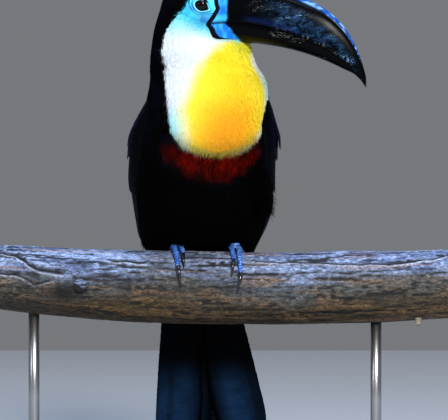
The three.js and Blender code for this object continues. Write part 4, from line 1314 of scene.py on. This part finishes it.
# Groups of feathers, lowest first: number, down at root and tip, the tips' stagger, across of the first and
# last at root and at tip, half the width, the height over the flank at mid-wing, and the roundness of the
# tip.
WING_GROUPS = [
    (7, 0.36, 0.985, 0.075, (0.3, 0.93), (0.2, 0.86), 0.15, 1.9, 1.5),
    (8, 0.22, 0.742, 0.012, (0.08, 0.93), (0.07, 0.93), 0.105, 2.9, 2.2),
    (3, 0.14, 0.775, 0.02, (0.04, 0.26), (0.1, 0.3), 0.13, 3.5, 2.2),
    (7, 0.12, 0.375, 0.012, (0.2, 0.95), (0.25, 0.95), 0.085, 3.8, 2.2),
    (10, 0.08, 0.25, 0.01, (0.05, 0.95), (0.05, 0.95), 0.075, 5.1, 2.2),
    (2, 0.1, 0.34, 0.04, (0.9, 0.97), (0.93, 0.98), 0.05, 4.6, 1.8),
    (11, 0.05, 0.21, 0.008, (0.05, 0.95), (0.05, 0.95), 0.068, 5.3, 2.0),
    (12, 0.02, 0.176, 0.006, (0.04, 0.96), (0.04, 0.96), 0.06, 5.4, 2.0),
    (12, 0.0, 0.146, 0.006, (0.05, 0.97), (0.05, 0.97), 0.058, 5.45, 2.0),
    (12, -0.02, 0.118, 0.006, (0.03, 0.95), (0.03, 0.95), 0.057, 5.5, 2.0),
    (12, -0.03, 0.092, 0.006, (0.05, 0.97), (0.05, 0.97), 0.056, 5.55, 2.0),
    (12, -0.05, 0.068, 0.006, (0.03, 0.95), (0.03, 0.95), 0.056, 5.6, 2.0),
    (5, 0.0, 0.36, 0.05, (0.02, 0.3), (0.02, 0.34), 0.085, 5.4, 2.0),
    (6, -0.03, 0.27, 0.05, (0.0, 0.4), (0.0, 0.4), 0.075, 5.7, 2.0),
    (6, -0.05, 0.18, 0.04, (0.0, 0.45), (0.0, 0.45), 0.07, 5.9, 2.0),
]
# A covert of the left wing has slipped and points outwards.
SLIPPED = (2, 0.09, 0.214, 0.01, (0.69, 0.74), (0.68, 0.73), 0.05, 7.4, 1.5)


def barb_group():
    """Node group "barbs": a Height of fine lines that slant away from a vane's shaft. Its Vector's x is mm
    from the shaft and its y is mm along it."""
    group, given, out = new_group(
        "barbs", {"Vector": ("Vector",), "Pitch": ("Float", 0.7)}, {"Height": ("Float",)}
    )
    split = add_node(group, "SeparateXYZ", {0: given["Vector"]})
    slant = calculate(group, "MULTIPLY_ADD", calculate(group, "ABSOLUTE", split["X"]), -1.3, split["Y"])
    angle = calculate(group, "MULTIPLY", calculate(group, "DIVIDE", slant, given["Pitch"]), 2 * math.pi)
    wave = calculate(group, "MULTIPLY_ADD", calculate(group, "SINE", angle), 0.5, 0.5)
    group.links.new(wave, out["Height"])
    return group


vane_material, vane_tree, vane_shader, _ = speckled_material(
    "vane_feather", "shade", 900, 0.35, bump=0.1, depth=0.0001, Roughness=0.5, Specular_IOR_Level=0.02
)
barbs = {"Vector": add_node(vane_tree, "UVMap", uv_map="vane")["UV"]}
barbs = add_node(vane_tree, "Group", barbs, node_tree=barb_group())["Height"]
barb_relief = add_node(vane_tree, "Bump", {"Strength": 0.35, "Distance": 0.00015, "Height": barbs})["Normal"]
vane_tree.links.new(barb_relief, vane_shader.inputs["Normal"])


def atlas(count):
    """Equal rectangles for count feathers on a UV square: left, right, bottom and top of each."""
    columns = math.ceil(math.sqrt(count))
    rows = math.ceil(count / columns)
    i = np.arange(count)
    left, bottom = (i % columns) / columns, (i // columns) / rows
    return left + 0.04 / columns, left + 0.96 / columns, bottom + 0.04 / rows, bottom + 0.96 / rows


def add_vanes(name, rings, tints, vane):
    """One piece of vanes from their rings, tints and places on the vane in mm, each (feather, ring, column,
    k)."""
    maps = {"OFBake": tube_uvs(*rings.shape[:3], atlas(len(rings))), "vane": per_point(vane)}
    return add_mesh(name, *closed_tubes(rings), vane_material, per_point(tints), maps)


def vane_width(along, power, start):
    """A vane's width along it, 1 at most: a quick swelling from the quill and an end that narrows from
    start."""
    end = np.clip((along - start) / (1 - start), 0, 1)
    return np.clip(along / 0.14, 0.02, 1) ** 0.6 * np.clip(1 - end**power, 0, 1) ** 0.5


VANE_BLACK, VANE_BLUE, VANE_EDGE_SHEEN = srgb(2, 3, 5), srgb(9, 19, 50), srgb(20, 34, 66)
LINING = srgb(7, 7, 9)
LINING_ROWS = 30
# How far the wing's lining swells at its middle, down the wing.
PAD_DOWN, PAD_SWELL = (0, 0.22, 0.28, 0.36, 0.42, 0.7, 0.76, 1), (4.0, 4.0, 2.9, 2.8, 2.1, 2.0, 1.3, 0.8)
for wing_side, side in (("right", -1), ("left", 1)):
    rng = np.random.default_rng(61 + side)
    roots = []
    groups = WING_GROUPS + ([SLIPPED] if side > 0 else [])
    for order, (number, down0, down1, stagger, root_a, tip_a, half, height, roundness) in enumerate(groups):
        share = np.linspace(0, 1, number)
        arch = 0.2 - (2 * share - 1) ** 2 if order == 0 else rng.uniform(-1, 1, number)
        tip_down = down1 + stagger * arch
        root_across = root_a[0] + (root_a[1] - root_a[0]) * share
        tip_across = tip_a[0] + (tip_a[1] - tip_a[0]) * share + rng.normal(0, 0.012, number)
        lapped = height + 0.1 * (np.arange(number) % 2)
        roots.append(spot(down0, tip_down, root_across, tip_across, half, lapped, roundness))
    table = np.concatenate(roots)[:, :, None, None]
    number = len(table)
    down0, down1, across0, across1, half, height, roundness = (table[:, k] for k in range(7))
    along = (1 - (1 - np.linspace(0, 1, VANE_ROWS)) ** 1.5)[None, :, None]
    a = VANE_ACROSS[None, None, :]
    width = np.where(roundness < 1.8, vane_width(along, 1.5, 0.6), vane_width(along, 2.1, 0.74))
    ragged = rng.normal(0, 0.035, (number, VANE_ROWS, 1)) * (np.abs(a) > 0.9)
    down = down0 + (down1 - down0) * along - 0.012 * np.abs(a) * ease(along, 0.1, 0.4) * (down1 - down0) * 3
    across = across0 + (across1 - across0) * along + half * width * a * (1 + ragged)
    lift = (1.7 + height * wing_swell(down, across)) * ease(down, -0.03, 0.16) - 1.6 * fade(down, -0.01, 0.09)
    lift = lift - 2.3 * ease(across, 0.82, 1.0) - np.clip(5 * half - 0.2, 0.08, 0.4) * a
    lift = lift + 0.32 * bell(a, 0, 0.1) * (1 - along) ** 0.5 * (VANE_UPPER >= 0)
    lift = lift + 0.13 * VANE_UPPER * (1 - along) ** 0.3
    lift = lift + rng.normal(0, 0.1, (number, 1, 1)) * along + 0.3 * along**3 - 0.35 * (1 - along)
    rings = wing_point(side, down, across, lift)
    rings = rings if side > 0 else rings[:, :, ::-1]
    length = np.linalg.norm(rings[:, -1].mean(axis=1) - rings[:, 0].mean(axis=1), axis=-1)[:, None, None]
    tone = rng.normal(1, 0.16, (number, 1, 1))
    # A painted blue sheen, strongest high on the wing and towards its back edge, and brighter on the vanes'
    # margins and shafts.
    sheen_noise = 0.6 + 0.3 * value_noise(rings / 16, 62)
    sheen = sheen_noise * (0.2 + 0.8 * fade(down, 0.12, 0.6)) * fade(across, 0.55, 0.95)
    margin = ease(np.abs(a), 0.78, 0.98) * ease(along, 0.3, 0.7)
    blue_black = painted(
        VANE_BLACK, (VANE_BLUE, sheen * tone), (VANE_EDGE_SHEEN, sheen * (0.6 * margin + 0.2 * bell(a, 0, 0.08)))
    )
    blue_black = blue_black if side > 0 else blue_black[:, :, ::-1]
    vane = spot(np.broadcast_to(a * half * 55, down.shape), along * length)
    wing = add_vanes(f"wing_feathers_{wing_side}", rings, blue_black, vane)
    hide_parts(f"wing_{wing_side}")

    around = np.concatenate([np.linspace(0.02, 0.98, 16), np.linspace(0.98, 0.02, 16)])
    upper = np.repeat([1, 0], 16)
    down = np.linspace(0.05, 0.93, LINING_ROWS)[:, None]
    pad = 0.4 + np.interp(down, PAD_DOWN, PAD_SWELL) * wing_swell(down, around) * ease(down, 0.04, 0.2)
    rings = wing_point(side, down, around, 0.3 - 2.6 * fade(down, 0.05, 0.16) + upper * pad)
    points, faces = closed_tubes(rings if side > 0 else rings[:, ::-1])
    lining_map = {"OFBake": tube_uvs(1, LINING_ROWS, len(around))}
    lining_shade = np.broadcast_to(LINING, points.shape)
    lining = add_mesh(f"wing_lining_{wing_side}", points, faces, black_feather, lining_shade, lining_map)

# ---------------------------------------------------------------- the tail
# Ten broad feathers with blunt rounded ends, stacked in a narrow fan, the middle pair uppermost. They are
# black, with a painted dull blue sheen towards the end; near the root the sheen is left out, painted shadow of
# the branch. Each has a stout shaft nearer its outer edge.
TAIL = {"root": (-5, 46, 166), "lean": 5.2, "slope": 7.4, "spread": 1.72, "step": 3.95, "layer": 0.8}
TAIL_LENGTHS = (146, 145.5, 144, 141, 136)
TAIL_ROWS = 100
TAIL_BLACK, TAIL_SHEEN, TAIL_SHAFT = srgb(3, 5, 7), srgb(20, 46, 78), srgb(6, 8, 12)


def tail_vane(share, grown, turning, power):
    """Half a tail vane's width along it: 6 mm at the quill, grown mm more where its end begins to turn in."""
    width = 6 + grown * (1 - np.clip(1 - share / turning, 0, 1) ** 2)
    return width * np.sqrt(1 - np.clip((share - turning) / (1 - turning), 0, 1) ** power)


tail_share = (1 - (1 - np.linspace(0, 1, TAIL_ROWS)) ** 1.4)[:, None]
tail_a = VANE_ACROSS[None, :]
lean, slope = math.radians(-TAIL["lean"]), math.radians(TAIL["slope"])
rng = np.random.default_rng(71)
tail_parts = []
for pair, length in enumerate(TAIL_LENGTHS):
    for side in (1, -1):
        fray = rng.normal(0, 0.012, (TAIL_ROWS, 1)) * (np.abs(tail_a) > 0.9)
        inner = tail_vane(tail_share, 19, 0.78, 2.3) * (1.16 if side > 0 else 1.0)
        x = np.where(tail_a < 0, inner, tail_vane(tail_share, 3.5, 0.82, 2.0)) * tail_a * (1 + fray)
        drop = -length * tail_share + 3.0 * np.abs(tail_a) * (1 - tail_share)
        flat = 0.5 + 0.22 * VANE_UPPER * (1 - tail_share) ** 0.2 - 0.0007 * x**2
        flat = flat + 0.45 * bell(tail_a, 0, 0.1) * (1 - tail_share) ** 0.4 * VANE_UPPER
        flat = flat + 0.06 * value_noise(spot(x / 6, drop / 25, pair * 7 + side), 72)
        depth = flat + pair * TAIL["layer"] + (TAIL["layer"] / 2 if side < 0 else 0)
        fan = math.radians(side * (pair + 0.5) * TAIL["spread"])
        x_out = side * x * math.cos(fan) - drop * math.sin(fan)
        y_out = side * x * math.sin(fan) + drop * math.cos(fan)
        x_out = x_out + side * (pair + 0.5) * TAIL["step"] * (0.84 if side > 0 else 1.0)
        px = x_out * math.cos(lean) + y_out * math.sin(lean)
        hang = y_out * math.cos(lean) - x_out * math.sin(lean)
        py = -depth * math.cos(slope) - hang * math.sin(slope)
        pz = hang * math.cos(slope) - depth * math.sin(slope)
        rings = spot(px, py, pz) + np.array(TAIL["root"])
        # A painted blue sheen towards the end; higher up the feathers stay black, painted shadow of the
        # branch, and the sheen is held back on the inner pairs and along one side of each vane, painted shade
        # where they overlap.
        tail_sheen = fade(rings[..., 2], 58, 104) * (0.75 + 0.35 * value_noise(rings / np.array([5, 9, 30]), 73))
        tail_sheen = tail_sheen * ease(tail_a, -0.98, -0.55) * (0.35 if pair < 4 else 1.0)
        tail_sheen = tail_sheen * (1 - (0.8 if side > 0 else 0.15) * ease(tail_a, 0.0, 0.25))
        barb_lines = value_noise(spot((drop + 1.3 * np.abs(x)) / 1.9, x / 40, side * pair), 74)
        tail_sheen = tail_sheen * (1 + 0.3 * barb_lines)
        tint = painted(TAIL_BLACK, (TAIL_SHEEN, tail_sheen), (TAIL_SHAFT, 0.85 * bell(tail_a, 0, 0.07)))
        way = -1 if side > 0 else 1
        tail_parts.append([part[:, ::way] for part in (rings, tint, spot(x, -drop))])
tail = add_vanes("tail_feathers", *(np.array(part) for part in zip(*tail_parts)))
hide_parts("tail")

# ---------------------------------------------------------------- floor, light and camera
# A pale studio floor under the stand, a small bright key light before the bird's left side, a cool broad
# light from the sky above it, a weak fill from its right, and a camera straight before the perch.
FLOOR_EDGE = 1400
FLOOR_COLOUR = (0.55, 0.53, 0.5)
floor_points = np.array([(-1, -1, 0), (1, -1, 0), (1, 1, 0), (-1, 1, 0)]) * FLOOR_EDGE * MM
backdrop, *_ = speckled_material("studio_floor", FLOOR_COLOUR, 60, 0.05, bump=0.02, Roughness=0.85)
floor_mesh = bpy.data.meshes.new("studio_floor")
floor_mesh.from_pydata(floor_points.tolist(), [], [(0, 1, 2, 3)])
floor_mesh.materials.append(backdrop)
studio_floor = bpy.data.objects.new("studio_floor", floor_mesh)
bpy.context.scene.collection.objects.link(studio_floor)

world = bpy.data.worlds.new("studio")
world.use_nodes = True
world.node_tree.nodes["Background"].inputs["Color"].default_value = (0.7, 0.73, 0.78, 1)
world.node_tree.nodes["Background"].inputs["Strength"].default_value = 0.26
bpy.context.scene.world = world

AIM = Vector((0.0139, 0.0, 0.2092))
# Square lights that face AIM: place and side in metres, power in watts, colour.
LIGHTS = {
    "key": ((0.36, -1.73, 1.2), 0.35, 41, (1.0, 0.985, 0.95)),
    "sky": ((0.05, -0.3, 1.75), 0.9, 28, (0.42, 0.62, 1.0)),
    "fill": ((-1.5, -0.9, 0.8), 0.6, 3.5, (0.85, 0.9, 1.0)),
}
for light_name, (place, size, power, colour) in LIGHTS.items():
    lamp = bpy.data.lights.new(light_name, "AREA")
    lamp.size, lamp.energy, lamp.color = size, power, colour
    light = bpy.data.objects.new(light_name, lamp)
    light.location = place
    light.rotation_euler = (AIM - Vector(place)).to_track_quat("-Z", "Y").to_euler()
    bpy.context.scene.collection.objects.link(light)

CAMERA_RISE = math.radians(2)
CAMERA_DISTANCE = 2.5
lens = bpy.data.cameras.new("camera")
lens.lens = 275.2
lens.sensor_width = 36
camera = bpy.data.objects.new("camera", lens)
camera.location = AIM + CAMERA_DISTANCE * Vector((0, -math.cos(CAMERA_RISE), math.sin(CAMERA_RISE)))
camera.rotation_euler = (AIM - camera.location).to_track_quat("-Z", "Y").to_euler()
bpy.context.scene.collection.objects.link(camera)
bpy.context.scene.camera = camera
bpy.context.scene.view_settings.view_transform = "Standard"
